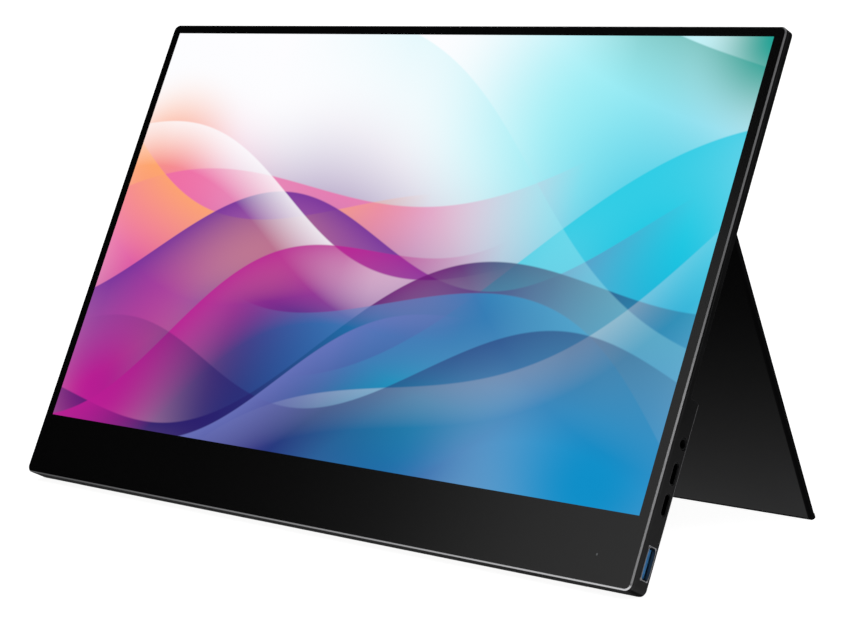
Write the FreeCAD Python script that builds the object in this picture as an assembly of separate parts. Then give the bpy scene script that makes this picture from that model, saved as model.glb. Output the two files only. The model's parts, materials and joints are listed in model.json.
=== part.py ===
import FreeCAD, Part
import os
from math import cos, hypot, radians, sin, tan

Vector = FreeCAD.Vector

# A portable monitor that stands open on a table. Every piece is drawn with the screen upright and the stand
# folded in: X runs to the viewer's right, Y from the glass to the back, Z up from the case's bottom edge.
# The stand is then swung open about its hinge, and the whole part leans back until it stands on both feet.

# Clearances that the whole part shares
OVERRUN = 2.0
SEAT_GAP = 0.1
RUN_GAP = 0.4
PIN_GAP = 0.05
PRESS_GAP = 0.02
PARALLEL_SHARE = 0.999

# Picture area, borders and case
DISPLAY_W = 344.16
DISPLAY_H = 193.59
SIDE_BEZEL = 5.1
TOP_BEZEL = 4.3
CHIN_H = 28.4
EDGE_T = 4.4
CORNER_R = 3.0
BEVEL_W = 11.0
WALL = 1.2
BACK_WALL = 0.9
REAR_EDGE_R = 0.8
STEP_R = 2.6
STEP_TIP_R = 0.1
STEP_ABOVE_KEY = 4.7

# Attitude on the table and the foot strip under the case
LEAN_DEG = 28.2
OPEN_DEG = 50.5
FOOT_RISE = 0.4
FOOT_T = 0.9
FOOT_REACH = 1.9
FOOT_FROM_SIDE = 27.2
FLOOR_CLEAR = 0.2

# Stand and the pocket that it folds into
STAND_T = 2.8
STAND_EDGE_R = 0.6
STAND_CORNER_R = 1.0
STAND_BACK_GAP = 0.2
HINGE_FROM_TOP = 68.0
POCKET_WALL = 0.7
POCKET_TO_SOCKET = 0.4
POCKET_TO_SHIELD = 0.35
STAND_FOOT_H = 1.6
TONGUE_T = 1.0
TONGUE_H = 0.8
NOTCH_W = 7.0
NOTCH_H = 18.0
NOTCH_Z = 18.0
NOTCH_R = 3.0

# Friction hinges at the two ends of the stand's barrel
KNUCKLE_W = 16.0
KNUCKLE_INSET = 0.2
WASHER_T = 0.5
WASHER_INSET = 0.4
PIN_R = 1.1
PIN_HEAD_INSET = 0.6
PIN_HEAD_T = 1.4
PIN_SEAT = 14.0
HINGE_END_ROOM = 4.2
LEAF_T = 1.0
LEAF_EDGE = 6.0
HINGE_SCREW_PITCH = 9.0
HINGE_SCREW_Z = 14.0

# Front frame and glass
FRAME_DEPTH = 1.9
FRAME_LEDGE = 2.0
CHAMFER = 0.5
GLASS_RIM = 0.15
GLASS_T = 0.8
TAPE_T = 0.25
TAPE_SETBACK = 0.3
WINDOW_MARGIN = 0.6
LIP_H = 0.7
WEB_BELOW_CELL = 0.5
WINDOW_R = 0.4

# Screen stack
CELL_T = 1.0
CELL_BELOW = 5.5
CELL_TOP_GAP = 0.3
CELL_SIDE_GAP = 0.8
TRAY_T = 1.7
TRAY_FLOOR = 0.3
TRAY_RIM = 0.4
TRAY_SETBACK = 1.6
FILMS_T = 0.25
LED_BAR_H = 3.0
LED_BAR_GAP = 0.3

# Panel driver board, its films and the display cable
PANEL_BOARD_MARGIN = 77.0
PANEL_BOARD_H = 9.4
PANEL_BOARD_BELOW_CELL = 2.1
BOARD_T = 0.8
DRIVER_FILM_COUNT = 6
DRIVER_FILM_W = 18.0
DRIVER_FILM_EDGE = 8.5
DRIVER_FILM_LAP = 2.6
DRIVER_FILM_GRIP = 1.4
FILM_T = 0.15
CABLE_FROM_MAIN = 38.0
CABLE_W = 16.0
CABLE_T = 0.2
CABLE_RISE = 4.0
CABLE_BEND = 5.0
CABLE_SOCKET_W = 18.0
CABLE_SOCKET_H = 3.4
CABLE_SOCKET_T = 0.7
CABLE_LEVEL = 0.35

# Main board behind the screen, with a leg down to the chin
BOARD_GAP = 0.9
MAIN_W = 144.4
MAIN_ABOVE_CHIN = 1.6
BOARD_BELOW_STEP = 3.2
LEG_W = 26.4
LEG_BELOW_SOCKET = 1.6
BOARD_EDGE = 2.8
BOARD_SCREW_INSET = 5.0
BOARD_BOSS_R = 2.0
SHIELD_FROM_MAIN = 54.0
SHIELD_Z = 52.0
SHIELD_W = 40.0
SHIELD_H = 26.0
SHIELD_T = 1.1
SHIELD_WALL = 0.2
CHIP_W = 14.0
CHIP_T = 0.7

# Sockets in the right side wall, from the lowest up: the steps between their centres and their sizes
SOCKET_SETBACK = 0.25
SOCKET_GAP = 0.2
USB_A_Z = 12.3
USB_A_ABOVE_BOARD = 1.45
USB_A_W = 13.4
USB_A_T = 5.4
USB_A_R = 0.6
USB_A_DEPTH = 12.4
USB_A_WALL = 0.45
USB_A_TONGUE_W = 11.2
USB_A_TONGUE_T = 1.9
USB_A_TONGUE_OFFSET = 0.75
USB_A_EAR_W = 1.4
USB_A_EAR_T = 0.3
USB_A_EAR_DEPTH = 6.0
USB_C_STEP = 22.9
USB_C_PITCH = 12.2
USB_C_W = 8.94
USB_C_T = 3.26
USB_C_DEPTH = 7.6
USB_C_WALL = 0.35
USB_C_TONGUE_W = 6.7
USB_C_TONGUE_T = 0.7
TONGUE_SETBACK = 1.6
AUDIO_STEP = 11.8
AUDIO_BORE_R = 1.8
AUDIO_COLLAR_R = 2.4
AUDIO_BODY_W = 6.4
AUDIO_BACK_GAP = 0.15
AUDIO_DEPTH = 12.2
AUDIO_FLOOR = 0.8

# Left side, from the lowest up: mini video socket, menu rocker and power button, their board and switches
HDMI_Z = 35.0
HDMI_W = 11.2
HDMI_T = 3.3
HDMI_DEPTH = 8.4
HDMI_WALL = 0.35
HDMI_CORNER = 0.9
HDMI_TONGUE_W = 7.8
HDMI_TONGUE_T = 0.8
SIDE_BOARD_W = 24.0
SIDE_BOARD_BELOW_SOCKET = 1.4
SWITCH_W = 4.0
SWITCH_T = 3.0
SWITCH_DEPTH = 3.2
SWITCH_FACE = 5.4
ROCKER_STEP = 3.9
ROCKER_W = 17.0
ROCKER_SLOT_GAP = 0.6
ROCKER_CAP_DEPTH = 2.4
ROCKER_ARM = 6.0
ROCKER_NECK_W = 2.6
ROCKER_EYE_R = 1.9
ROCKER_POST_R = 0.9
ROCKER_POST_X = 5.6
POWER_STEP = 3.0
POWER_W = 7.0
BUTTON_T = 2.6
BUTTON_ABOVE_BOARD = 2.05
BUTTON_PROUD = 0.7
BUTTON_SLOT_GAP = 0.2
FLANGE_RIM = 0.8
FLANGE_T = 0.6
FLANGE_GAP = 0.3
STEM_W = 2.0
STEM_GAP = 0.9

# Ribbon between the two boards
RIBBON_Z = 52.0
RIBBON_W = 8.0
RIBBON_T = 0.2
RIBBON_LEVEL = 0.3
RIBBON_SOCKET_W = 3.6
RIBBON_SOCKET_T = 0.9
RIBBON_SOCKET_RIM = 0.8

# Speakers in the chin and their slots in the bottom wall
SPEAKER_FROM_SIDE = 50.2
SPEAKER_W = 38.0
SPEAKER_BOTTOM = 2.8
SPEAKER_BELOW_WEB = 4.0
SPEAKER_BACK_GAP = 0.6
SPEAKER_R = 1.5
SPEAKER_PORT_W = 30.0
SPEAKER_PORT_T = 2.0
SPEAKER_PORT_DEPTH = 4.0
SLOT_COUNT = 10
SLOT_PITCH = 3.0
SLOT_W = 1.2
SLOT_T = 1.8

# Status light on the chin
LIGHT_FROM_SIDE = 19.2
LIGHT_Z = 11.3
PIPE_R = 0.5
PIPE_COLLAR_R = 0.9
LED_W = 1.6
LED_T = 0.7

# Screws
CASE_SCREW_TO_SPEAKER = 8.0
CASE_SCREW_RISE = 4.5
INNER_SCREW_SHARE = 0.35
CASE_BOSS_R = 2.2
SCREW_R = 0.8
SCREW_HEAD_R = 1.6
SCREW_HEAD_T = 0.5
SCREW_LENGTH = 4.4
CROSS_W = 0.45
CROSS_SPAN = 2.0
CROSS_DEPTH = 0.3
SMALL_HEAD_T = 0.6
SMALL_SCREW_LENGTH = 1.7

# Ribs inside the upper back
RIB_SHARES = (-1.0, -0.5, 0.0, 0.5, 1.0)
RIB_INSIDE_BARREL = 14.0
RIB_T = 1.2
RIB_CLEAR = 0.3
RIB_FROM_LEAF = 6.0
RIB_FROM_TOP = 16.0
RIB_BAR_FROM_TOP = 30.0

# Depths that follow from the layers, front to back
LEDGE_Y = GLASS_T + TAPE_T
CELL_BACK = LEDGE_Y + CELL_T
TRAY_BACK = CELL_BACK + TRAY_T
BOARD_Y = TRAY_BACK + BOARD_GAP
BOARD_BACK = BOARD_Y + BOARD_T
PANEL_BACK = FRAME_DEPTH + BOARD_T
FLOOR_IN_Y = BOARD_BACK + SHIELD_T + POCKET_TO_SHIELD
POCKET_Y = FLOOR_IN_Y + POCKET_WALL
HINGE_Y = POCKET_Y + STAND_BACK_GAP
CASE_T = HINGE_Y + STAND_T
INNER_Y = CASE_T - BACK_WALL
AUDIO_BODY_T = INNER_Y - BOARD_BACK - AUDIO_BACK_GAP
AUDIO_Y = BOARD_BACK + AUDIO_BODY_T / 2
USB_C_Y = BOARD_BACK + USB_C_T / 2
USB_A_Y = BOARD_BACK + USB_A_ABOVE_BOARD
BUTTON_Y = BOARD_BACK + BUTTON_ABOVE_BOARD
SPEAKER_BACK = FLOOR_IN_Y - SPEAKER_BACK_GAP
SPEAKER_Y = (FRAME_DEPTH + SPEAKER_BACK) / 2
BEVEL_SLOPE = (CASE_T - EDGE_T) / BEVEL_W

# Heights that follow, measured up the case from its bottom edge
CASE_H = DISPLAY_H + TOP_BEZEL + CHIN_H
CELL_BOTTOM = CHIN_H - CELL_BELOW
CELL_TOP = CASE_H - FRAME_LEDGE - CELL_TOP_GAP
WEB_TOP = CELL_BOTTOM - WEB_BELOW_CELL
PANEL_BOARD_TOP = CELL_BOTTOM - PANEL_BOARD_BELOW_CELL
PANEL_BOARD_Z = PANEL_BOARD_TOP - PANEL_BOARD_H
SPEAKER_TOP = WEB_TOP - SPEAKER_BELOW_WEB
USB_C_LOWER_Z = USB_A_Z + USB_C_STEP
USB_C_UPPER_Z = USB_C_LOWER_Z + USB_C_PITCH
AUDIO_Z = USB_C_UPPER_Z + AUDIO_STEP
ROCKER_Z = HDMI_Z + HDMI_W / 2 + ROCKER_STEP + ROCKER_W / 2
POWER_Z = ROCKER_Z + ROCKER_W / 2 + POWER_STEP + POWER_W / 2
PORT_SECTION_H = POWER_Z + POWER_W / 2 + STEP_ABOVE_KEY
BOARD_TOP = PORT_SECTION_H - BOARD_BELOW_STEP
MAIN_BOTTOM = CHIN_H + MAIN_ABOVE_CHIN
LEG_BOTTOM = USB_A_Z - USB_A_W / 2 - LEG_BELOW_SOCKET
SIDE_BOARD_BOTTOM = HDMI_Z - HDMI_W / 2 - SIDE_BOARD_BELOW_SOCKET
HINGE_Z = CASE_H - HINGE_FROM_TOP
LEAF_H = HINGE_SCREW_Z + LEAF_EDGE

# Places that follow, measured across the case from its middle
CASE_W = DISPLAY_W + 2 * SIDE_BEZEL
SIDE_X = CASE_W / 2
INNER_X = SIDE_X - WALL
SOCKET_X = SIDE_X - SOCKET_SETBACK
CELL_W = CASE_W - 2 * (FRAME_LEDGE + CELL_SIDE_GAP)
FOOT_W = CASE_W - 2 * FOOT_FROM_SIDE
BOARD_X = SIDE_X - BOARD_EDGE
MAIN_LEFT = BOARD_X - MAIN_W
LEG_LEFT = BOARD_X - LEG_W
SHIELD_X = MAIN_LEFT + SHIELD_FROM_MAIN
CABLE_X = MAIN_LEFT + CABLE_FROM_MAIN
PANEL_BOARD_W = DISPLAY_W - 2 * PANEL_BOARD_MARGIN
DRIVER_FILM_SPAN = PANEL_BOARD_W - DRIVER_FILM_W - 2 * DRIVER_FILM_EDGE
LIGHT_X = SIDE_X - LIGHT_FROM_SIDE
SPEAKER_X = SIDE_X - SPEAKER_FROM_SIDE
CASE_SCREW_X = SPEAKER_X - SPEAKER_W / 2 - CASE_SCREW_TO_SPEAKER
INNER_SCREW_X = CASE_SCREW_X * INNER_SCREW_SHARE
CASE_SCREW_XS = (-CASE_SCREW_X, -INNER_SCREW_X, INNER_SCREW_X, CASE_SCREW_X)
DEEPEST_SOCKET = max(USB_A_DEPTH, AUDIO_DEPTH, USB_C_DEPTH, HDMI_DEPTH)
POCKET_X = SOCKET_X - DEEPEST_SOCKET - POCKET_TO_SOCKET - POCKET_WALL
POCKET_R = STAND_CORNER_R + RUN_GAP
STAND_W = 2 * (POCKET_X - RUN_GAP)
WASHER_ROOM = WASHER_T + 2 * SEAT_GAP
BARREL_X = STAND_W / 2 - HINGE_END_ROOM - PIN_HEAD_T - KNUCKLE_W - 2 * WASHER_ROOM
KNUCKLE_START = BARREL_X + WASHER_ROOM
KNUCKLE_END = KNUCKLE_START + KNUCKLE_W
KNUCKLE_X = (KNUCKLE_START + KNUCKLE_END) / 2
PIN_HEAD_X = KNUCKLE_END + WASHER_ROOM
KNUCKLE_R = STAND_T - KNUCKLE_INSET
WASHER_R = STAND_T - WASHER_INSET
PIN_HEAD_R = STAND_T - PIN_HEAD_INSET
GROOVE_R = STAND_T + RUN_GAP
RIB_X = BARREL_X - RIB_INSIDE_BARREL

# Attitude on the table and the length of the stand that reaches the floor from its hinge
LEAN = radians(LEAN_DEG)
SPLAY = radians(OPEN_DEG - LEAN_DEG)
FLOOR_DROP = CASE_T * sin(LEAN) - FOOT_RISE * cos(LEAN)
HINGE_HEIGHT = HINGE_Z * cos(LEAN) - HINGE_Y * sin(LEAN) + FLOOR_DROP
STAND_INNER_LENGTH = HINGE_HEIGHT / cos(SPLAY)
STAND_OUTER_LENGTH = STAND_INNER_LENGTH + STAND_T * tan(SPLAY)
STAND_END = HINGE_Z - STAND_OUTER_LENGTH
PLATE_END = HINGE_Z - STAND_INNER_LENGTH + STAND_FOOT_H
POCKET_BOTTOM = STAND_END - RUN_GAP
CASE_SCREW_Z = POCKET_BOTTOM + CASE_SCREW_RISE
HINGE_REACH = HINGE_Y * cos(LEAN) + HINGE_Z * sin(LEAN)
REAR_REACH = HINGE_REACH + STAND_OUTER_LENGTH * sin(SPLAY) + STAND_T * cos(SPLAY)
FRONT_REACH = CHAMFER * sin(LEAN)
HALF_QUARTER = radians(45)
X_AXIS = Vector(1, 0, 0)
Y_AXIS = Vector(0, 1, 0)
Z_AXIS = Vector(0, 0, 1)


def about(centre, size):
    """Low and high end of a span of this size about its centre."""
    return (centre - size / 2, centre + size / 2)


def box(x, y, z):
    """Block between the low and high ends of its three spans."""
    return Part.makeBox(x[1] - x[0], y[1] - y[0], z[1] - z[0], Vector(x[0], y[0], z[0]))


def rod_x(x, y, z, radius):
    """Round rod along X."""
    return Part.makeCylinder(radius, x[1] - x[0], Vector(x[0], y, z), X_AXIS)


def rod_y(x, y, z, radius):
    """Round rod along Y."""
    return Part.makeCylinder(radius, y[1] - y[0], Vector(x, y[0], z), Y_AXIS)


def lengthwise_edges(shape, axis):
    """Straight edges of a shape that run along an axis."""
    found = []
    for edge in shape.Edges:
        if len(edge.Vertexes) == 2 and isinstance(edge.Curve, Part.Line):
            if abs(edge.Curve.Direction.dot(axis)) > PARALLEL_SHARE:
                found.append(edge)
    return found


def plate(x, y, z, radius):
    """Block whose four edges along Y are rounded."""
    block = box(x, y, z)
    return block.makeFillet(radius, lengthwise_edges(block, Y_AXIS))


def bar(x, y, z, radius):
    """Block whose four edges along X are rounded."""
    block = box(x, y, z)
    return block.makeFillet(radius, lengthwise_edges(block, X_AXIS))


def prism_x(x, outline):
    """Outline of (y, z) points carried along X."""
    points = [Vector(x[0], y, z) for y, z in outline]
    face = Part.Face(Part.makePolygon(points + points[:1]))
    return face.extrude(X_AXIS * (x[1] - x[0]))


def prism_z(z, outline):
    """Outline of (x, y) points carried along Z."""
    points = [Vector(x, y, z[0]) for x, y in outline]
    face = Part.Face(Part.makePolygon(points + points[:1]))
    return face.extrude(Vector(0, 0, z[1] - z[0]))


def stadium(x, y, z, length, height):
    """Bar along X with a round-ended outline, its length along Z."""
    reach = (length - height) / 2
    half = height / 2
    low_back = Vector(x[0], y + half, z - reach)
    low_front = Vector(x[0], y - half, z - reach)
    high_back = Vector(x[0], y + half, z + reach)
    high_front = Vector(x[0], y - half, z + reach)
    top = Part.Arc(high_back, Vector(x[0], y, z + reach + half), high_front)
    bottom = Part.Arc(low_front, Vector(x[0], y, z - reach - half), low_back)
    sides = [Part.LineSegment(high_front, low_front), Part.LineSegment(low_back, high_back)]
    edges = [top.toShape(), sides[0].toShape(), bottom.toShape(), sides[1].toShape()]
    return Part.Face(Part.Wire(edges)).extrude(X_AXIS * (x[1] - x[0]))


def mirrored(shape):
    """The same shape on the other side of the middle plane."""
    return shape.mirror(Vector(0, 0, 0), X_AXIS)


def joined(shapes):
    """One solid from shapes that meet."""
    whole = shapes[0].multiFuse(shapes[1:])
    return whole.removeSplitter()


def floor_line(y, rise):
    """Height on the case, at depth y, of a plane that lies rise above the floor."""
    return FOOT_RISE + (y - CASE_T) * tan(LEAN) + rise / cos(LEAN)


def below_floor_line(x, rise):
    """Everything under a plane that lies rise above the floor."""
    front = -OVERRUN
    back = CASE_T + OVERRUN
    low = floor_line(front, 0) - OVERRUN
    outline = [(front, low), (back, low), (back, floor_line(back, rise)), (front, floor_line(front, rise))]
    return prism_x(x, outline)


def bevel_outline(edge, start):
    """Triangle that bevels the back towards an edge: (distance along the back, depth)."""
    back = CASE_T + OVERRUN
    inner = edge - (back - start) / BEVEL_SLOPE
    return [(edge + OVERRUN, start - BEVEL_SLOPE * OVERRUN), (edge + OVERRUN, back), (inner, back)]


def case_form(inset, front, back):
    """Outer form of the rear cover, or its hollow when inset by the wall."""
    side = SIDE_X - inset
    form = plate((-side, side), (front, back), (inset, CASE_H - inset), CORNER_R - inset)
    if inset == 0:
        rear_edges = [edge for edge in form.Edges if edge.BoundBox.YMin > back - WALL]
        form = form.makeFillet(REAR_EDGE_R, rear_edges)
    start = EDGE_T - inset * hypot(1, BEVEL_SLOPE)
    side_bevel = prism_z((PORT_SECTION_H - inset, CASE_H + OVERRUN), bevel_outline(SIDE_X, start))
    top_bevel = prism_x((-CASE_W, CASE_W), [(y, z) for z, y in bevel_outline(CASE_H, start)])
    under = below_floor_line((-CASE_W, CASE_W), FLOOR_CLEAR + inset)
    return form.cut([side_bevel, mirrored(side_bevel), top_bevel, under])


def step_corner(x, radius):
    """Wire of the sliver that rounds the upper rear corner of the port section, at one x."""
    low = Vector(x, CASE_T, PORT_SECTION_H - radius)
    front = Vector(x, CASE_T - radius, PORT_SECTION_H)
    short = radius - radius * cos(HALF_QUARTER)
    middle = Vector(x, CASE_T - short, PORT_SECTION_H - short)
    outer = Vector(x, CASE_T + OVERRUN, PORT_SECTION_H + OVERRUN)
    arc = Part.Arc(low, middle, front).toShape()
    return Part.Wire([arc, Part.LineSegment(front, outer).toShape(), Part.LineSegment(outer, low).toShape()])


def step_rounding():
    """Cut that rounds the port section's corner and fades out where the bevel ends."""
    outer = step_corner(SIDE_X + OVERRUN, STEP_R)
    inner = step_corner(SIDE_X - BEVEL_W, STEP_TIP_R)
    return Part.makeLoft([outer, inner], True, True)


def pocket_form(grow):
    """Pocket that the stand folds into, or the same with its walls."""
    half = POCKET_X + grow
    top = HINGE_Z + GROOVE_R + grow
    bottom = POCKET_BOTTOM if grow == 0 else -OVERRUN
    recess = plate((-half, half), (POCKET_Y - grow, CASE_T + OVERRUN), (bottom, top), POCKET_R)
    groove = rod_x((-half, half), HINGE_Y, HINGE_Z, GROOVE_R + grow)
    notch_x = (-POCKET_X - NOTCH_W - grow, -POCKET_X + NOTCH_R + grow)
    notch = plate(notch_x, (POCKET_Y - grow, CASE_T + OVERRUN), about(NOTCH_Z, NOTCH_H + 2 * grow), NOTCH_R)
    return joined([recess, groove, notch])


def board_screw_points():
    """Places of the screws that hold the main board and the side board."""
    left = MAIN_LEFT + BOARD_SCREW_INSET
    right = LEG_LEFT
    low = MAIN_BOTTOM + BOARD_SCREW_INSET
    high = BOARD_TOP - BOARD_SCREW_INSET
    side = -BOARD_X + SIDE_BOARD_W - BOARD_SCREW_INSET
    side_low = SIDE_BOARD_BOTTOM + BOARD_SCREW_INSET
    return [(left, low), (left, high), (right, low), (right, high), (side, side_low), (side, high)]


def hinge_screw_points():
    """Places of the screws that hold the hinge brackets."""
    points = []
    for centre in (-KNUCKLE_X, KNUCKLE_X):
        for x in about(centre, HINGE_SCREW_PITCH):
            points.append((x, HINGE_Z + HINGE_SCREW_Z))
    return points


def cover_bosses():
    """Bosses and ribs that stand on the inside of the rear cover."""
    solids = []
    for x, z in board_screw_points():
        solids.append(rod_y(x, (BOARD_BACK, FLOOR_IN_Y + POCKET_WALL / 2), z, BOARD_BOSS_R))
    for x, z in hinge_screw_points():
        solids.append(rod_y(x, (HINGE_Y, INNER_Y + BACK_WALL / 2), z, BOARD_BOSS_R))
    post_x = -SIDE_X + ROCKER_POST_X
    solids.append(rod_y(post_x, (BUTTON_Y - BUTTON_T / 2, INNER_Y + BACK_WALL / 2), ROCKER_Z, ROCKER_POST_R))
    rib_y = (TRAY_BACK + RIB_CLEAR, INNER_Y + BACK_WALL / 2)
    rib_z = (HINGE_Z + LEAF_H + RIB_FROM_LEAF, CASE_H - RIB_FROM_TOP)
    for share in RIB_SHARES:
        solids.append(box(about(share * RIB_X, RIB_T), rib_y, rib_z))
    solids.append(box((-RIB_X, RIB_X), rib_y, about(CASE_H - RIB_BAR_FROM_TOP, RIB_T)))
    return solids


def cover_openings():
    """Socket openings, button slots, speaker slots, screw holes and hinge windows of the rear cover."""
    wall = (INNER_X - OVERRUN / 2, SIDE_X + OVERRUN)
    left_wall = (-SIDE_X - OVERRUN, -INNER_X + OVERRUN / 2)
    around = 2 * SOCKET_GAP
    cuts = [rod_x(wall, AUDIO_Y, AUDIO_Z, AUDIO_COLLAR_R + SOCKET_GAP)]
    for z in (USB_C_UPPER_Z, USB_C_LOWER_Z):
        cuts.append(stadium(wall, USB_C_Y, z, USB_C_W + around, USB_C_T + around))
    usb_a_y = about(USB_A_Y, USB_A_T + around)
    cuts.append(bar(wall, usb_a_y, about(USB_A_Z, USB_A_W + around), USB_A_R + SOCKET_GAP))
    cuts.append(hdmi_outline(left_wall, SOCKET_GAP))
    button_y = BUTTON_T + 2 * BUTTON_SLOT_GAP
    cuts.append(stadium(left_wall, BUTTON_Y, POWER_Z, POWER_W + 2 * BUTTON_SLOT_GAP, button_y))
    cuts.append(stadium(left_wall, BUTTON_Y, ROCKER_Z, ROCKER_W + 2 * ROCKER_SLOT_GAP, button_y))
    slot_y = about(SPEAKER_Y, SLOT_T)
    for side in (-SPEAKER_X, SPEAKER_X):
        for i in range(SLOT_COUNT):
            x = side + (i - (SLOT_COUNT - 1) / 2) * SLOT_PITCH
            cuts.append(box(about(x, SLOT_W), slot_y, (-OVERRUN, WALL + OVERRUN)))
    for x in CASE_SCREW_XS:
        cuts.append(rod_y(x, (FLOOR_IN_Y - OVERRUN, CASE_T), CASE_SCREW_Z, SCREW_R + SEAT_GAP))
        cuts.append(rod_y(x, (POCKET_Y - SCREW_HEAD_T, CASE_T), CASE_SCREW_Z, SCREW_HEAD_R + SEAT_GAP))
    hole_r = SCREW_R + SEAT_GAP
    hole_depth = SMALL_SCREW_LENGTH + SEAT_GAP
    for x, z in board_screw_points():
        cuts.append(rod_y(x, (BOARD_BACK - OVERRUN, BOARD_Y + hole_depth), z, hole_r))
    for x, z in hinge_screw_points():
        cuts.append(rod_y(x, (HINGE_Y - OVERRUN, HINGE_Y - LEAF_T + hole_depth), z, hole_r))
    window_y = (HINGE_Y - LEAF_T - SEAT_GAP, HINGE_Y + SEAT_GAP)
    window_z = (HINGE_Z, HINGE_Z + GROOVE_R + POCKET_WALL + SEAT_GAP)
    for centre in (-KNUCKLE_X, KNUCKLE_X):
        cuts.append(box(about(centre, KNUCKLE_W + 2 * SEAT_GAP), window_y, window_z))
    return cuts


def foot_form(room):
    """Lower rear corner of the case that the foot strip fills, or its groove with some room."""
    x = about(0, FOOT_W + 2 * room)
    corner = box(x, (CASE_T - FOOT_REACH - room, CASE_T + OVERRUN), (-OVERRUN, HINGE_Z))
    return below_floor_line(x, FOOT_T).common(corner)


def rear_cover():
    """Hollow back of the case with bevelled upper edges, thick port section and stand pocket."""
    outside = case_form(0, FRAME_DEPTH, CASE_T)
    outside = outside.cut([step_rounding(), mirrored(step_rounding())])
    hollow = case_form(WALL, FRAME_DEPTH - OVERRUN, INNER_Y).cut(pocket_form(POCKET_WALL))
    shell = outside.cut([pocket_form(0), hollow, foot_form(SEAT_GAP)])
    return joined([shell] + cover_bosses()).cut(cover_openings())


def bottom_foot():
    """Rubber strip let into the lower rear edge, flat on the floor."""
    inside = box(about(0, FOOT_W), (0, CASE_T), (0, HINGE_Z))
    return foot_form(0).common(inside).cut(below_floor_line(about(0, FOOT_W + OVERRUN), 0))


def inset_plate(y, edge):
    """Plate with the case's rounded outline, set in from it by an even edge."""
    side = SIDE_X - edge
    return plate((-side, side), y, (edge, CASE_H - edge), CORNER_R - edge)


def front_frame():
    """Frame round the glass with a polished chamfer, a web across the chin and the screw bosses."""
    ring = plate((-SIDE_X, SIDE_X), (0, FRAME_DEPTH), (0, CASE_H), CORNER_R)
    front_edges = [edge for edge in ring.Edges if edge.BoundBox.YMax < FRAME_DEPTH / 2]
    ring = ring.makeChamfer(CHAMFER, front_edges)
    rim = CHAMFER + GLASS_RIM
    pocket = inset_plate((-OVERRUN, LEDGE_Y), rim)
    window_x = (FRAME_LEDGE - SIDE_X, SIDE_X - FRAME_LEDGE)
    window = plate(window_x, (0, FRAME_DEPTH + OVERRUN), (WEB_TOP, CASE_H - FRAME_LEDGE), WINDOW_R)
    lip_edge = WALL + SEAT_GAP
    lip_y = (FRAME_DEPTH, FRAME_DEPTH + LIP_H)
    lip_hole = inset_plate((FRAME_DEPTH, FRAME_DEPTH + OVERRUN), FRAME_LEDGE - SEAT_GAP)
    stack_z = (CELL_BOTTOM - SEAT_GAP, CELL_TOP + SEAT_GAP)
    stack_room = box(about(0, CELL_W + 2 * SEAT_GAP), (0, CASE_T), stack_z)
    lip = inset_plate(lip_y, lip_edge).cut([lip_hole, stack_room])
    boss_y = (FRAME_DEPTH, FLOOR_IN_Y)
    bosses = [rod_y(x, boss_y, CASE_SCREW_Z, CASE_BOSS_R) for x in CASE_SCREW_XS]
    hole_y = (POCKET_Y - SCREW_HEAD_T - SCREW_LENGTH - SEAT_GAP, FLOOR_IN_Y + OVERRUN)
    holes = [rod_y(x, hole_y, CASE_SCREW_Z, SCREW_R + PIN_GAP) for x in CASE_SCREW_XS]
    light_hole = rod_y(LIGHT_X, (0, FRAME_DEPTH + OVERRUN), LIGHT_Z, PIPE_COLLAR_R + SEAT_GAP)
    return joined([ring.cut([pocket, window]), lip] + bosses).cut(holes + [light_hole])


def cover_glass():
    """Front glass, flush in its frame, with the hole of the status light."""
    rim = CHAMFER + GLASS_RIM + SEAT_GAP
    sheet = inset_plate((0, GLASS_T), rim)
    return sheet.cut(rod_y(LIGHT_X, (-OVERRUN, CASE_T), LIGHT_Z, PIPE_R + PIN_GAP))


def border_tape():
    """Adhesive border that holds the glass to the frame and to the screen."""
    rim = CHAMFER + GLASS_RIM + SEAT_GAP + TAPE_SETBACK
    sheet = inset_plate((GLASS_T, LEDGE_Y), rim)
    window_z = about(CHIN_H + DISPLAY_H / 2, DISPLAY_H + 2 * WINDOW_MARGIN)
    window = box(about(0, DISPLAY_W + 2 * WINDOW_MARGIN), (0, CASE_T), window_z)
    return sheet.cut([window, rod_y(LIGHT_X, (0, CASE_T), LIGHT_Z, PIPE_R + PIN_GAP)])


def screen_stack():
    """LCD cell, optical films, light guide, LED bar and the tray that holds them."""
    x = about(0, CELL_W)
    z = (CELL_BOTTOM + TRAY_SETBACK, CELL_TOP)
    inner_x = about(0, CELL_W - 2 * TRAY_RIM)
    inner_z = (z[0] + TRAY_RIM, z[1] - TRAY_RIM)
    fit_x = about(0, CELL_W - 2 * TRAY_RIM - 2 * SEAT_GAP)
    fit_z = (inner_z[0] + SEAT_GAP, inner_z[1] - SEAT_GAP)
    floor = TRAY_BACK - TRAY_FLOOR
    films_back = CELL_BACK + FILMS_T
    bar_top = fit_z[0] + LED_BAR_H
    return {
        "lcd_cell": box(x, (LEDGE_Y, CELL_BACK), (CELL_BOTTOM, CELL_TOP)),
        "optical_films": box(fit_x, (CELL_BACK, films_back), fit_z),
        "led_bar": box(fit_x, (films_back, floor), (fit_z[0], bar_top)),
        "light_guide": box(fit_x, (films_back, floor), (bar_top + LED_BAR_GAP, fit_z[1])),
        "backlight_tray": box(x, (CELL_BACK, TRAY_BACK), z).cut(box(inner_x, (CELL_BACK, floor), inner_z)),
    }


def bent_strip(x, path, thickness):
    """Flat flexible strip along a path of (y, z) points."""
    back = [(y + thickness, z) for y, z in reversed(path)]
    return prism_x(x, path + back)


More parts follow.
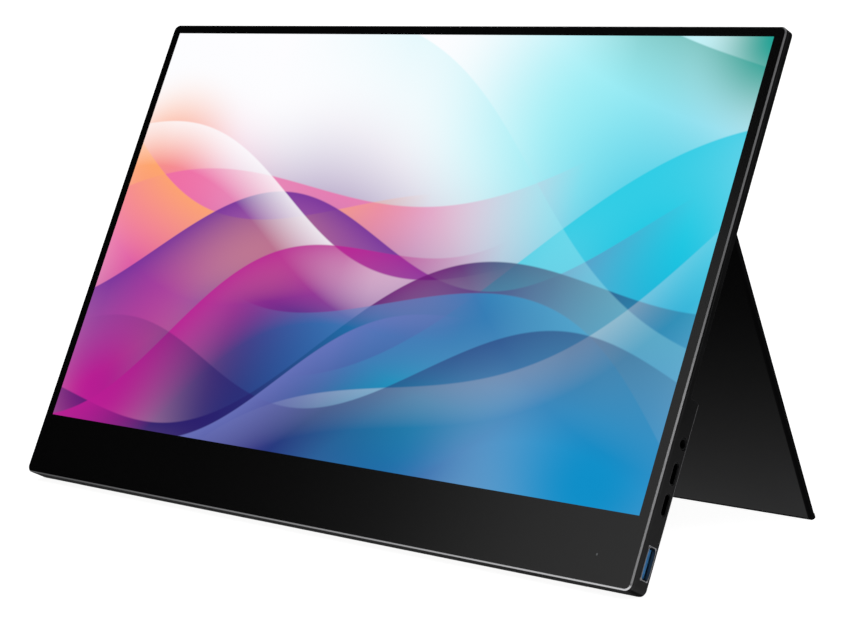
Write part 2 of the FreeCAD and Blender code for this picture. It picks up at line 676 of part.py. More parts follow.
def driver_films():
    """Flexible films from the lower edge of the cell down to the panel board."""
    path = [
        (PANEL_BACK, PANEL_BOARD_TOP - DRIVER_FILM_LAP),
        (PANEL_BACK, PANEL_BOARD_TOP),
        (CELL_BACK, CELL_BOTTOM),
        (CELL_BACK, CELL_BOTTOM + DRIVER_FILM_GRIP),
    ]
    films = []
    for i in range(DRIVER_FILM_COUNT):
        centre = (i / (DRIVER_FILM_COUNT - 1) - 1 / 2) * DRIVER_FILM_SPAN
        films.append(bent_strip(about(centre, DRIVER_FILM_W), path, FILM_T))
    return Part.makeCompound(films)


def display_cable_pieces():
    """Flat cable from the panel board to the main board, and the socket at each end."""
    low = PANEL_BOARD_Z + CABLE_SOCKET_H
    high = MAIN_BOTTOM
    low_y = PANEL_BACK + CABLE_LEVEL
    high_y = BOARD_Y - CABLE_LEVEL - CABLE_T
    path = [(low_y, low), (low_y, low + CABLE_RISE), (high_y, low + CABLE_RISE + CABLE_BEND), (high_y, high)]
    socket_x = about(CABLE_X, CABLE_SOCKET_W)
    low_socket = box(socket_x, (PANEL_BACK, PANEL_BACK + CABLE_SOCKET_T), (PANEL_BOARD_Z, low))
    high_socket = box(socket_x, (BOARD_Y - CABLE_SOCKET_T, BOARD_Y), (high, high + CABLE_SOCKET_H))
    return {
        "display_cable": bent_strip(about(CABLE_X, CABLE_W), path, CABLE_T),
        "display_sockets": Part.makeCompound([low_socket, high_socket]),
    }


def main_board():
    """Board behind the screen, with a leg beside the USB-A socket that hangs in its notch."""
    y = (BOARD_Y, BOARD_BACK)
    upper = box((MAIN_LEFT, BOARD_X), y, (MAIN_BOTTOM, BOARD_TOP))
    leg = box((LEG_LEFT, BOARD_X), y, (LEG_BOTTOM, MAIN_BOTTOM))
    notch_x = (SOCKET_X - USB_A_DEPTH - SOCKET_GAP, SIDE_X)
    notch = box(notch_x, (0, CASE_T), about(USB_A_Z, USB_A_W + 2 * SOCKET_GAP))
    holes = [rod_y(x, (0, CASE_T), z, SCREW_R + SEAT_GAP) for x, z in board_screw_points() if x > 0]
    return joined([upper, leg]).cut([notch] + holes)


def side_board():
    """Small board on the left that carries the switches and the video socket."""
    x = (-BOARD_X, -BOARD_X + SIDE_BOARD_W)
    board = box(x, (BOARD_Y, BOARD_BACK), (SIDE_BOARD_BOTTOM, BOARD_TOP))
    holes = [rod_y(x, (0, CASE_T), z, SCREW_R + SEAT_GAP) for x, z in board_screw_points() if x < 0]
    return board.cut(holes)


def shield_pieces():
    """Screen processor under its shield can, both on the main board."""
    x = about(SHIELD_X, SHIELD_W)
    z = about(SHIELD_Z, SHIELD_H)
    y = (BOARD_BACK, BOARD_BACK + SHIELD_T)
    hollow_x = about(SHIELD_X, SHIELD_W - 2 * SHIELD_WALL)
    hollow_z = about(SHIELD_Z, SHIELD_H - 2 * SHIELD_WALL)
    hollow = box(hollow_x, (BOARD_BACK, BOARD_BACK + SHIELD_T - SHIELD_WALL), hollow_z)
    chip = box(about(SHIELD_X, CHIP_W), (BOARD_BACK, BOARD_BACK + CHIP_T), about(SHIELD_Z, CHIP_W))
    return {"shield_can": box(x, y, z).cut(hollow), "scaler_chip": chip}


def usb_c_pieces(name, z):
    """Shell and tongue of one USB-C socket."""
    back = SOCKET_X - USB_C_DEPTH
    floor = back + USB_C_WALL
    shell = stadium((back, SOCKET_X), USB_C_Y, z, USB_C_W, USB_C_T)
    hollow = stadium((floor, SIDE_X), USB_C_Y, z, USB_C_W - 2 * USB_C_WALL, USB_C_T - 2 * USB_C_WALL)
    tongue_x = (floor, SOCKET_X - TONGUE_SETBACK)
    tongue = box(tongue_x, about(USB_C_Y, USB_C_TONGUE_T), about(z, USB_C_TONGUE_W))
    return {name + "_shell": shell.cut(hollow), name + "_tongue": tongue}


def usb_a_pieces():
    """Shell with side ears and the tongue of the USB-A socket."""
    back = SOCKET_X - USB_A_DEPTH
    floor = back + USB_A_WALL
    shell = bar((back, SOCKET_X), about(USB_A_Y, USB_A_T), about(USB_A_Z, USB_A_W), USB_A_R)
    inner_y = about(USB_A_Y, USB_A_T - 2 * USB_A_WALL)
    hollow = box((floor, SIDE_X), inner_y, about(USB_A_Z, USB_A_W - 2 * USB_A_WALL))
    ear_x = about(SOCKET_X - USB_A_DEPTH / 2, USB_A_EAR_DEPTH)
    ear_y = (BOARD_BACK, BOARD_BACK + USB_A_EAR_T)
    ears = box(ear_x, ear_y, about(USB_A_Z, USB_A_W + 2 * USB_A_EAR_W))
    tongue_x = (floor, SOCKET_X - TONGUE_SETBACK)
    tongue_y = about(USB_A_Y + USB_A_TONGUE_OFFSET, USB_A_TONGUE_T)
    tongue = box(tongue_x, tongue_y, about(USB_A_Z, USB_A_TONGUE_W))
    return {"usb_a_shell": joined([shell, ears]).cut(hollow), "usb_a_tongue": tongue}


def audio_jack():
    """Round audio socket: a block on the board with a collar in the side wall."""
    back = SOCKET_X - AUDIO_DEPTH
    body_x = (back, INNER_X - SOCKET_GAP)
    body = box(body_x, about(AUDIO_Y, AUDIO_BODY_T), about(AUDIO_Z, AUDIO_BODY_W))
    collar = rod_x((body_x[1], SOCKET_X), AUDIO_Y, AUDIO_Z, AUDIO_COLLAR_R)
    bore = rod_x((back + AUDIO_FLOOR, SIDE_X), AUDIO_Y, AUDIO_Z, AUDIO_BORE_R)
    return joined([body, collar]).cut(bore)


def hdmi_outline(x, grow):
    """Mini video socket's outline with two cut corners, carried along X."""
    y_low = BOARD_BACK - grow
    y_high = BOARD_BACK + HDMI_T + grow
    z_low = HDMI_Z - HDMI_W / 2 - grow
    z_high = HDMI_Z + HDMI_W / 2 + grow
    cut = HDMI_CORNER
    outline = [
        (y_low, z_low + cut),
        (y_low + cut, z_low),
        (y_high, z_low),
        (y_high, z_high),
        (y_low + cut, z_high),
        (y_low, z_high - cut),
    ]
    return prism_x(x, outline)


def hdmi_pieces():
    """Shell and tongue of the mini video socket on the left side."""
    back = -SOCKET_X + HDMI_DEPTH
    floor = back - HDMI_WALL
    shell = hdmi_outline((-SOCKET_X, back), 0).cut(hdmi_outline((-SIDE_X, floor), -HDMI_WALL))
    tongue_x = (-SOCKET_X + TONGUE_SETBACK, floor)
    tongue_y = about(BOARD_BACK + HDMI_T / 2, HDMI_TONGUE_T)
    tongue = box(tongue_x, tongue_y, about(HDMI_Z, HDMI_TONGUE_W))
    return {"mini_hdmi_shell": shell, "mini_hdmi_tongue": tongue}


def tact_switches():
    """Switch behind the power button and one behind each end of the rocker."""
    x = (-SIDE_X + SWITCH_FACE, -SIDE_X + SWITCH_FACE + SWITCH_DEPTH)
    y = (BOARD_BACK, BOARD_BACK + SWITCH_T)
    heights = (POWER_Z, ROCKER_Z - ROCKER_ARM, ROCKER_Z + ROCKER_ARM)
    return Part.makeCompound([box(x, y, about(z, SWITCH_W)) for z in heights])


def power_button():
    """Button cap with a flange behind the wall and a stem that meets its switch."""
    flange_x = (-INNER_X + FLANGE_GAP, -INNER_X + FLANGE_GAP + FLANGE_T)
    cap = stadium((-SIDE_X - BUTTON_PROUD, flange_x[1]), BUTTON_Y, POWER_Z, POWER_W, BUTTON_T)
    flange = stadium(flange_x, BUTTON_Y, POWER_Z, POWER_W + 2 * FLANGE_RIM, BUTTON_T + 2 * FLANGE_RIM)
    stem_x = (flange_x[1], -SIDE_X + SWITCH_FACE - STEM_GAP)
    stem = box(stem_x, about(BUTTON_Y, STEM_W), about(POWER_Z, STEM_W))
    return joined([cap, flange, stem])


def menu_rocker():
    """Rocker key that turns on a post inside the cover and presses a switch with either end."""
    y = about(BUTTON_Y, BUTTON_T)
    back = -SIDE_X - BUTTON_PROUD + ROCKER_CAP_DEPTH
    post_x = -SIDE_X + ROCKER_POST_X
    cap = stadium((-SIDE_X - BUTTON_PROUD, back), BUTTON_Y, ROCKER_Z, ROCKER_W, BUTTON_T)
    neck = box((back, post_x), y, about(ROCKER_Z, ROCKER_NECK_W))
    eye = rod_y(post_x, y, ROCKER_Z, ROCKER_EYE_R)
    stem_x = (back, -SIDE_X + SWITCH_FACE - STEM_GAP)
    stem_y = about(BUTTON_Y, STEM_W)
    stems = [box(stem_x, stem_y, about(z, STEM_W)) for z in about(ROCKER_Z, 2 * ROCKER_ARM)]
    bore = rod_y(post_x, (0, CASE_T), ROCKER_Z, ROCKER_POST_R + PIN_GAP)
    return joined([cap, neck, eye] + stems).cut(bore)


def ribbon_pieces():
    """Flat ribbon between the side board and the main board, and its two sockets."""
    y = (BOARD_BACK + RIBBON_LEVEL, BOARD_BACK + RIBBON_LEVEL + RIBBON_T)
    left = -BOARD_X + SIDE_BOARD_W - RIBBON_SOCKET_W
    right = MAIN_LEFT + RIBBON_SOCKET_W
    socket_y = (BOARD_BACK, BOARD_BACK + RIBBON_SOCKET_T)
    socket_z = about(RIBBON_Z, RIBBON_W + 2 * RIBBON_SOCKET_RIM)
    left_socket = box((left - RIBBON_SOCKET_W, left), socket_y, socket_z)
    right_socket = box((right, right + RIBBON_SOCKET_W), socket_y, socket_z)
    return {
        "link_ribbon": box((left, right), y, about(RIBBON_Z, RIBBON_W)),
        "ribbon_sockets": Part.makeCompound([left_socket, right_socket]),
    }


def speaker(centre):
    """Flat speaker box on the chin web with its sound port towards the slots below."""
    z = (SPEAKER_BOTTOM, SPEAKER_TOP)
    body = plate(about(centre, SPEAKER_W), (FRAME_DEPTH, SPEAKER_BACK), z, SPEAKER_R)
    port_z = (SPEAKER_BOTTOM - OVERRUN, SPEAKER_BOTTOM + SPEAKER_PORT_DEPTH)
    port = box(about(centre, SPEAKER_PORT_W), about(SPEAKER_Y, SPEAKER_PORT_T), port_z)
    return body.cut(port)


def light_pieces():
    """Light pipe that ends flush in the glass, and the LED on the main board behind it."""
    led_y = (BOARD_Y - LED_T, BOARD_Y)
    thin = rod_y(LIGHT_X, (0, LEDGE_Y), LIGHT_Z, PIPE_R)
    thick = rod_y(LIGHT_X, (LEDGE_Y, led_y[0]), LIGHT_Z, PIPE_COLLAR_R)
    led = box(about(LIGHT_X, LED_W), led_y, about(LIGHT_Z, LED_W))
    return {"light_pipe": joined([thin, thick]), "status_led": led}


def case_screws():
    """Screws through the pocket's floor into the front frame, each with a cross recess."""
    screws = []
    for x in CASE_SCREW_XS:
        head_y = (POCKET_Y - SCREW_HEAD_T, POCKET_Y)
        head = rod_y(x, head_y, CASE_SCREW_Z, SCREW_HEAD_R)
        shank = rod_y(x, (head_y[0] - SCREW_LENGTH, head_y[0]), CASE_SCREW_Z, SCREW_R)
        cross_y = (POCKET_Y - CROSS_DEPTH, POCKET_Y + OVERRUN)
        upright = box(about(x, CROSS_W), cross_y, about(CASE_SCREW_Z, CROSS_SPAN))
        across = box(about(x, CROSS_SPAN), cross_y, about(CASE_SCREW_Z, CROSS_W))
        screws.append(joined([head, shank]).cut([upright, across]))
    return Part.makeCompound(screws)


def small_screws(points, seat):
    """Short screws whose heads press on a plate's front face at the depth of their seat."""
    screws = []
    for x, z in points:
        head = rod_y(x, (seat - SMALL_HEAD_T, seat), z, SCREW_HEAD_R)
        shank = rod_y(x, (seat, seat + SMALL_SCREW_LENGTH), z, SCREW_R)
        screws.append(joined([head, shank]))
    return Part.makeCompound(screws)


def hinge_bracket():
    """Right-hand hinge bracket: a knuckle round the pin and a leaf screwed inside the cover."""
    x = (KNUCKLE_START, KNUCKLE_END)
    knuckle = rod_x(x, HINGE_Y, HINGE_Z, KNUCKLE_R)
    leaf = box(x, (HINGE_Y - LEAF_T, HINGE_Y), (HINGE_Z, HINGE_Z + LEAF_H))
    bore = rod_x((0, CASE_W), HINGE_Y, HINGE_Z, PIN_R + PIN_GAP)
    holes = [rod_y(px, (0, CASE_T), z, SCREW_R + SEAT_GAP) for px, z in hinge_screw_points() if px > 0]
    return joined([knuckle, leaf]).cut([bore] + holes)


def hinge_pin():
    """Right-hand hinge pin: pressed into the barrel, with a head outside the knuckle."""
    shank = rod_x((BARREL_X - PIN_SEAT, PIN_HEAD_X), HINGE_Y, HINGE_Z, PIN_R)
    head = rod_x((PIN_HEAD_X, PIN_HEAD_X + PIN_HEAD_T), HINGE_Y, HINGE_Z, PIN_HEAD_R)
    return joined([shank, head])


def friction_washers():
    """A washer on each side of both knuckles."""
    washers = []
    for start in (BARREL_X + SEAT_GAP, KNUCKLE_END + SEAT_GAP):
        x = (start, start + WASHER_T)
        disc = rod_x(x, HINGE_Y, HINGE_Z, WASHER_R)
        washer = disc.cut(rod_x((0, CASE_W), HINGE_Y, HINGE_Z, PIN_R + PRESS_GAP))
        washers += [washer, mirrored(washer)]
    return Part.makeCompound(washers)


def stand_plate():
    """Stand panel with the hinge barrel along its upper edge and a tongue for its foot."""
    y = (HINGE_Y, CASE_T)
    panel = box(about(0, STAND_W), y, (PLATE_END, HINGE_Z))
    panel = panel.makeFillet(STAND_EDGE_R, lengthwise_edges(panel, Z_AXIS))
    barrel = rod_x((-BARREL_X, BARREL_X), HINGE_Y, HINGE_Z, STAND_T)
    middle = (HINGE_Y + CASE_T) / 2
    tongue_x = about(0, STAND_W - 2 * STAND_T)
    tongue = box(tongue_x, about(middle, TONGUE_T), (PLATE_END - TONGUE_H, PLATE_END))
    corner_x = (BARREL_X, STAND_W)
    corner = box(corner_x, (0, CASE_T + OVERRUN), (HINGE_Z - STAND_T - RUN_GAP, HINGE_Z + OVERRUN))
    bore = rod_x((BARREL_X - PIN_SEAT - SEAT_GAP, STAND_W), HINGE_Y, HINGE_Z, PIN_R + PRESS_GAP)
    return joined([panel.cut([corner, mirrored(corner)]), barrel, tongue]).cut([bore, mirrored(bore)])


def stand_foot():
    """Rubber strip on the stand's end, cut so that it lies flat on the floor when open."""
    inner_end = HINGE_Z - STAND_INNER_LENGTH
    outline = [(HINGE_Y, PLATE_END), (HINGE_Y, inner_end), (CASE_T, STAND_END), (CASE_T, PLATE_END)]
    rounded = plate(about(0, STAND_W), (0, CASE_T), (STAND_END, HINGE_Z), STAND_CORNER_R)
    strip = prism_x(about(0, STAND_W), outline).common(rounded)
    middle = (HINGE_Y + CASE_T) / 2
    groove_x = about(0, STAND_W - 2 * STAND_T + 2 * PRESS_GAP)
    groove_z = (PLATE_END - TONGUE_H - PRESS_GAP, PLATE_END + OVERRUN)
    return strip.cut(box(groove_x, about(middle, TONGUE_T + 2 * PRESS_GAP), groove_z))


def panel_board():
    """Driver board behind the chin web, with room for any screw boss that it would meet."""
    board = box(about(0, PANEL_BOARD_W), (FRAME_DEPTH, PANEL_BACK), (PANEL_BOARD_Z, PANEL_BOARD_TOP))
    room = CASE_BOSS_R + SOCKET_GAP
    return board.cut([rod_y(x, (0, CASE_T), CASE_SCREW_Z, room) for x in CASE_SCREW_XS])


def monitor_pieces():
    """Every piece that stays with the screen, and the keys in its left side."""
    pieces = {
        "cover_glass": cover_glass(),
        "border_tape": border_tape(),
        "front_frame": front_frame(),
        "panel_board": panel_board(),
        "driver_films": driver_films(),
        "main_board": main_board(),
        "side_board": side_board(),
        "audio_jack": audio_jack(),
        "tact_switches": tact_switches(),
        "speaker_left": speaker(-SPEAKER_X),
        "speaker_right": speaker(SPEAKER_X),
        "rear_cover": rear_cover(),
        "bottom_foot": bottom_foot(),
        "case_screws": case_screws(),
        "board_screws": small_screws(board_screw_points(), BOARD_Y),
        "hinge_screws": small_screws(hinge_screw_points(), HINGE_Y - LEAF_T),
        "hinge_bracket_right": hinge_bracket(),
        "hinge_bracket_left": mirrored(hinge_bracket()),
        "power_button": power_button(),
        "menu_rocker": menu_rocker(),
    }
    pieces.update(screen_stack())
    pieces.update(display_cable_pieces())
    pieces.update(shield_pieces())
    pieces.update(usb_c_pieces("usb_c_upper", USB_C_UPPER_Z))
    pieces.update(usb_c_pieces("usb_c_lower", USB_C_LOWER_Z))
    pieces.update(usb_a_pieces())
    pieces.update(hdmi_pieces())
    pieces.update(ribbon_pieces())
    pieces.update(light_pieces())
    return pieces


def stand_pieces():
    """Every piece that swings with the stand, drawn folded in."""
    return {
        "stand_plate": stand_plate(),
        "stand_foot": stand_foot(),
        "hinge_pin_right": hinge_pin(),
        "hinge_pin_left": mirrored(hinge_pin()),
        "friction_washers": friction_washers(),
    }


def leaned_back(shape):
    """The shape set on the floor: leaned back, with the origin under the middle of the part."""
    placed = shape.copy()
    placed.rotate(Vector(0, 0, 0), X_AXIS, -LEAN_DEG)
    placed.translate(Vector(0, -(FRONT_REACH + REAR_REACH) / 2, FLOOR_DROP))
    return placed


def swung_open(shape):
    """The shape turned about the stand's hinge from folded in to open."""
    placed = shape.copy()
    placed.rotate(Vector(0, HINGE_Y, HINGE_Z), X_AXIS, OPEN_DEG)
    return placed


def main():
    """Build every piece and write it to its own file."""
    os.makedirs("parts", exist_ok=True)
    pieces = monitor_pieces()
    for name, shape in stand_pieces().items():
        pieces[name] = swung_open(shape)
    for name, shape in pieces.items():
        leaned_back(shape).exportStep("parts/" + name + ".step")


main()
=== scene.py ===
import json
import math

import bmesh
import bpy
import numpy as np
from mathutils import Matrix, Vector


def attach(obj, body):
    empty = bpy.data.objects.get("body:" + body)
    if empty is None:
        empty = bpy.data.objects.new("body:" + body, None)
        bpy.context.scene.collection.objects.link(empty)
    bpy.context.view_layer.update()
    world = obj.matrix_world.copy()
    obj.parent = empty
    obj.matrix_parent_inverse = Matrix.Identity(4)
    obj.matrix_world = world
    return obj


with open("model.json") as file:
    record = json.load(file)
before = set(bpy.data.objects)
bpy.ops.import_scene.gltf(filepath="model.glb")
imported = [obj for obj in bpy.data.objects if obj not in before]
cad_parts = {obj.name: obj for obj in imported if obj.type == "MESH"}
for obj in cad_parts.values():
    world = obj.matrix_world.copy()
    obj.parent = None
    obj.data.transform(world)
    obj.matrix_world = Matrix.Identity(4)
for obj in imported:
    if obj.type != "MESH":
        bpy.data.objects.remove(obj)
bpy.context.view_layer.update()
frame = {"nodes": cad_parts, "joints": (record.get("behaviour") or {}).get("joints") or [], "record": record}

MM = 0.001

bl_info = {
    "name": "Portable monitor looks",
    "version": (1, 0, 0),
    "blender": (4, 5, 0),
    "location": "View3D > Sidebar > Monitor",
    "description": "Finishes, socket details and studio for a portable monitor on its kickstand",
    "category": "Object",
}

# Attitude of the case and the stand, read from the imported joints
JOINTS = {joint["name"]: joint for joint in frame["joints"]}
DEPTH_AXIS = np.array(JOINTS["rocker_tilt"]["axis"])
ACROSS_AXIS = np.array([1.0, 0.0, 0.0])
UP_AXIS = np.cross(ACROSS_AXIS, DEPTH_AXIS)
LEAN = math.atan2(-DEPTH_AXIS[2], DEPTH_AXIS[1])
SPLAY = math.radians(-JOINTS["stand_hinge"]["range_deg"][0]) - LEAN
HINGE = np.array(JOINTS["stand_hinge"]["pos_m"])
STAND_UP = np.array([0.0, -math.sin(SPLAY), math.cos(SPLAY)])
STAND_OUT = np.array([0.0, math.cos(SPLAY), math.sin(SPLAY)])


def node_points(node):
    """All corner points of a CAD node at rest, as an array of rows."""
    mesh = frame["nodes"][node].data
    flat = np.empty(len(mesh.vertices) * 3, np.float32)
    mesh.vertices.foreach_get("co", flat)
    return flat.reshape(-1, 3).astype(float)


def case_span(node, axis):
    """Lowest and highest reach of a CAD node along one of the case's axes, from the case's own origin."""
    reach = (node_points(node) - CASE_ORIGIN) @ axis
    return reach.min(), reach.max()


def glass_origin():
    """Point in the middle of the glass's front face, level with the lower edge of the frame."""
    glass = node_points("cover_glass")
    rim = node_points("front_frame")
    front = (glass @ DEPTH_AXIS).min()
    low = (rim @ UP_AXIS).min()
    return DEPTH_AXIS * front + UP_AXIS * low


CASE_ORIGIN = glass_origin()


def on_case(across, depth, height):
    """World points from places across, into and up the case, any of which may be arrays."""
    across, depth, height = np.broadcast_arrays(across, depth, height)
    level = across[..., None] * ACROSS_AXIS + depth[..., None] * DEPTH_AXIS
    return CASE_ORIGIN + level + height[..., None] * UP_AXIS


def middle(span):
    """Centre of a span."""
    return (span[0] + span[1]) / 2


def half(span):
    """Half the length of a span."""
    return (span[1] - span[0]) / 2


def spans(node):
    """Reach of a CAD node across, into and up the case."""
    return [case_span(node, axis) for axis in (ACROSS_AXIS, DEPTH_AXIS, UP_AXIS)]


def spread(count, pitch):
    """Evenly spaced places about zero."""
    return (np.arange(count) - (count - 1) / 2) * pitch


# Values that a user would change


def length(name, words, default):
    """Property for a size in metres."""
    return bpy.props.FloatProperty(
        name=name, description=words, default=default, unit="LENGTH", precision=5
    )


def number(name, words, default):
    """Property for a plain number."""
    return bpy.props.FloatProperty(name=name, description=words, default=default)


def angle(name, words, degrees):
    """Property for an angle, given in degrees."""
    return bpy.props.FloatProperty(
        name=name, description=words, default=math.radians(degrees), subtype="ANGLE"
    )


def colour(name, words, default):
    """Property for a colour in linear light."""
    return bpy.props.FloatVectorProperty(
        name=name, description=words, default=default, subtype="COLOR", size=3, min=0.0, max=1.0
    )


def point(name, words, default):
    """Property for a place in the room."""
    return bpy.props.FloatVectorProperty(
        name=name, description=words, default=default, size=3, subtype="TRANSLATION"
    )


class MonitorScreenLook(bpy.types.PropertyGroup):
    """Picture area and the colours of the picture."""

    width: length("Picture width", "Width of the lit area", 344.16 * MM)
    height: length("Picture height", "Height of the lit area", 193.59 * MM)
    chin: length("Chin", "Height of the dark strip under the picture", 28.4 * MM)
    glow: number("Glow", "Brightness of the picture", 1.0)
    face_depth: length("Face depth", "How far behind the front the picture still shows", 0.05 * MM)
    grain: length("Grain", "Grain of the border", 0.4 * MM)
    gloss: number("Gloss", "Roughness of the border", 0.2)
    border: colour("Border", "Printed border of the glass", (0.0006, 0.0006, 0.0007))
    paper: colour("White", "Ground of the picture", (0.98, 0.98, 1.0))
    peach: colour("Peach", "Warm light at the left", (1.0, 0.4, 0.13))
    pink: colour("Pink", "Pink at the left", (0.85, 0.14, 0.4))
    magenta: colour("Magenta", "Strong magenta", (0.5, 0.012, 0.3))
    violet: colour("Violet", "Violet in the middle", (0.17, 0.03, 0.33))
    indigo: colour("Indigo", "Deep blue violet", (0.022, 0.012, 0.15))
    iris: colour("Iris", "Soft violet blue at the lower left", (0.16, 0.19, 0.55))
    blue: colour("Blue", "Blue along the bottom", (0.012, 0.07, 0.32))
    azure: colour("Azure", "Lighter blue at the lower right", (0.002, 0.27, 0.58))
    cyan: colour("Cyan", "Cyan at the right", (0.01, 0.6, 0.78))
    aqua: colour("Aqua", "Pale aqua at the top", (0.36, 0.86, 0.92))
    teal: colour("Teal", "Teal in the upper right corner", (0.01, 0.36, 0.3))


class MonitorFinishLook(bpy.types.PropertyGroup):
    """Colours of the finishes, with painted light and shade on the sides, the bottom wall, the rear corner,
    the cut edge and the stand.
    """

    case: colour("Case", "Black anodised back", (0.0095, 0.0095, 0.0098))
    # Painted light and shade on the sides: darker high up and paler low down, standing in for how the light
    # falls.
    side_shade_top: colour("Side top", "Black of the sides, high up", (0.0034, 0.0034, 0.0035))
    side_light_foot: colour("Side foot", "Sides low down, where hands hold the case", (0.0225, 0.0222, 0.0225))
    # Painted shade: the bottom wall is darker than the rest of the black, as it faces down.
    underside_shade: colour("Underside", "Black of the bottom wall", (0.0012, 0.0012, 0.0012))
    sheen: number("Sheen", "Specular level of the dull black finishes", 0.01)
    satin: number("Satin", "Satin coat on the backs of the case and the stand", 0.9)
    satin_rough: number("Satin roughness", "Roughness of the satin coat", 0.44)
    matt_rough: number("Matt roughness", "Roughness of the black metal", 0.66)
    worn_rough: number("Worn roughness", "Roughness where handling has polished the black", 0.34)
    edge: colour("Edge", "Where handling has polished the black", (0.06, 0.06, 0.063))
    # Painted highlight on the rounded rear corner of the sides.
    ridge_highlight: colour("Ridge", "Rear corner of the sides", (0.13, 0.13, 0.135))
    # The cut edge runs from a painted highlight at the lower right to painted shade at the left, and keeps
    # only a share of the highlight high up.
    chamfer: colour("Chamfer", "Bright cut edge of the frame at the right", (0.48, 0.48, 0.49))
    chamfer_shade_left: colour("Chamfer far", "Cut edge of the frame at the left", (0.05, 0.05, 0.052))
    chamfer_highlight_top: number("Chamfer high", "Share of its brightness that the cut edge keeps high up", 0.42)
    stand: colour("Stand", "Soft inner face of the stand at its foot", (0.036, 0.036, 0.0366))
    # Painted shade: the inner face of the stand darkens towards the hinge, in the wedge between stand and
    # case.
    stand_hinge_shade: colour("Stand top", "Inner face of the stand by its hinge", (0.0012, 0.0012, 0.0013))
    stand_edge: colour("Stand edge", "Black edge of the stand", (0.002, 0.002, 0.0022))
    rubber: colour("Rubber", "Feet", (0.012, 0.012, 0.012))
    plastic: colour("Plastic", "Black mouldings", (0.012, 0.012, 0.013))
    steel: colour("Steel", "Plated shell of the large socket", (0.22, 0.22, 0.23))
    black_nickel: colour("Black nickel", "Shells of the small sockets", (0.008, 0.008, 0.0084))
    dark_steel: colour("Dark steel", "Hinges and screws", (0.12, 0.12, 0.125))
    gold: colour("Gold", "Contacts", (0.78, 0.52, 0.2))
    tongue: colour("Blue tongue", "Tongue of the large socket", (0.04, 0.2, 0.46))
    board: colour("Board", "Solder mask", (0.01, 0.09, 0.035))
    film: colour("Film", "Amber flexible film", (0.42, 0.2, 0.04))
    lens: colour("Light pipe", "Clear end of the status light", (0.13, 0.135, 0.14))
    diffuser: colour("Diffuser", "White films behind the screen", (0.8, 0.81, 0.82))
    guide: colour("Light guide", "Clear plate behind the screen", (0.8, 0.84, 0.84))


class MonitorFinishSizes(bpy.types.PropertyGroup):
    """Sizes of grain, worn edges, the bands where one finish runs into the next, and the bands of painted
    light and shade.
    """

    case_grain: length("Case grain", "Blasted grain of the case", 0.16 * MM)
    frame_grain: length("Frame grain", "Blasted grain of the front frame", 0.12 * MM)
    stand_grain: length("Stand grain", "Soft grain of the stand", 0.22 * MM)
    satin_grain: length("Satin grain", "Grain of the satin coat", 0.3 * MM)
    rubber_grain: length("Rubber grain", "Grain of the feet", 0.3 * MM)
    plastic_grain: length("Plastic grain", "Grain of small mouldings", 0.1 * MM)
    case_bump: length("Case bump", "Depth of the grain of the case", 0.05 * MM)
    stand_bump: length("Stand bump", "Depth of the grain of the stand", 0.06 * MM)
    rubber_bump: length("Rubber bump", "Depth of the grain of the feet", 0.08 * MM)
    plastic_bump: length("Plastic bump", "Depth of the grain of mouldings", 0.03 * MM)
    metal_bump: length("Metal bump", "Depth of the brushed lines", 0.02 * MM)
    brush: length("Brush", "Spacing of brushed lines on metal", 0.12 * MM)
    chamfer_brush: length("Chamfer brush", "Spacing of brushed lines on the cut edge", 0.15 * MM)
    case_wear: length("Case wear", "Width of the worn edges of the case", 0.5 * MM)
    metal_wear: length("Metal wear", "Width of the worn edges of small metal pieces", 0.15 * MM)
    chamfer: length("Chamfer", "Depth of the bright cut edge", 0.49 * MM)
    hairline: length("Hairline", "Sharp change from one finish to the next", 0.04 * MM)
    fade: length("Fade", "Soft change from one finish to the next", 0.4 * MM)
    # Width and fade of the painted highlight on the rear corner.
    ridge_highlight: length("Ridge", "Width of the brighter rear corner", 0.9 * MM)
    ridge_highlight_fade: length("Ridge fade", "Soft change from the sides to their rear corner", 0.5 * MM)
    back_inset: length("Back inset", "From the sides to the satin back", 0.8 * MM)
    # Band of painted light low on the sides, fading into painted shade higher up.
    side_light_height: length("Held", "Height up to which the sides are palest", 15.0 * MM)
    side_light_fade: length("Held fade", "Soft change from there up to the black of the sides", 75.0 * MM)
    # Band of the painted highlight on the cut edge.
    chamfer_highlight_height: length("Polished", "Height up to which the cut edge is brightest", 75.0 * MM)
    chamfer_highlight_fade: length("Polished fade", "Soft change from there up to the duller cut edge", 40.0 * MM)
    stand_skin: length("Stand skin", "Depth of the soft face of the stand", 0.06 * MM)
    barrel: length("Barrel", "From the hinge to the lower side of the barrel", 3.2 * MM)
    foot: length("Foot", "Height of the foot of the stand", 1.6 * MM)
    stand_border: length("Stand border", "Black border at the ends of the stand", 1.5 * MM)
    stand_round: length("Stand round", "Rounding of the outer edges of the stand", 0.6 * MM)


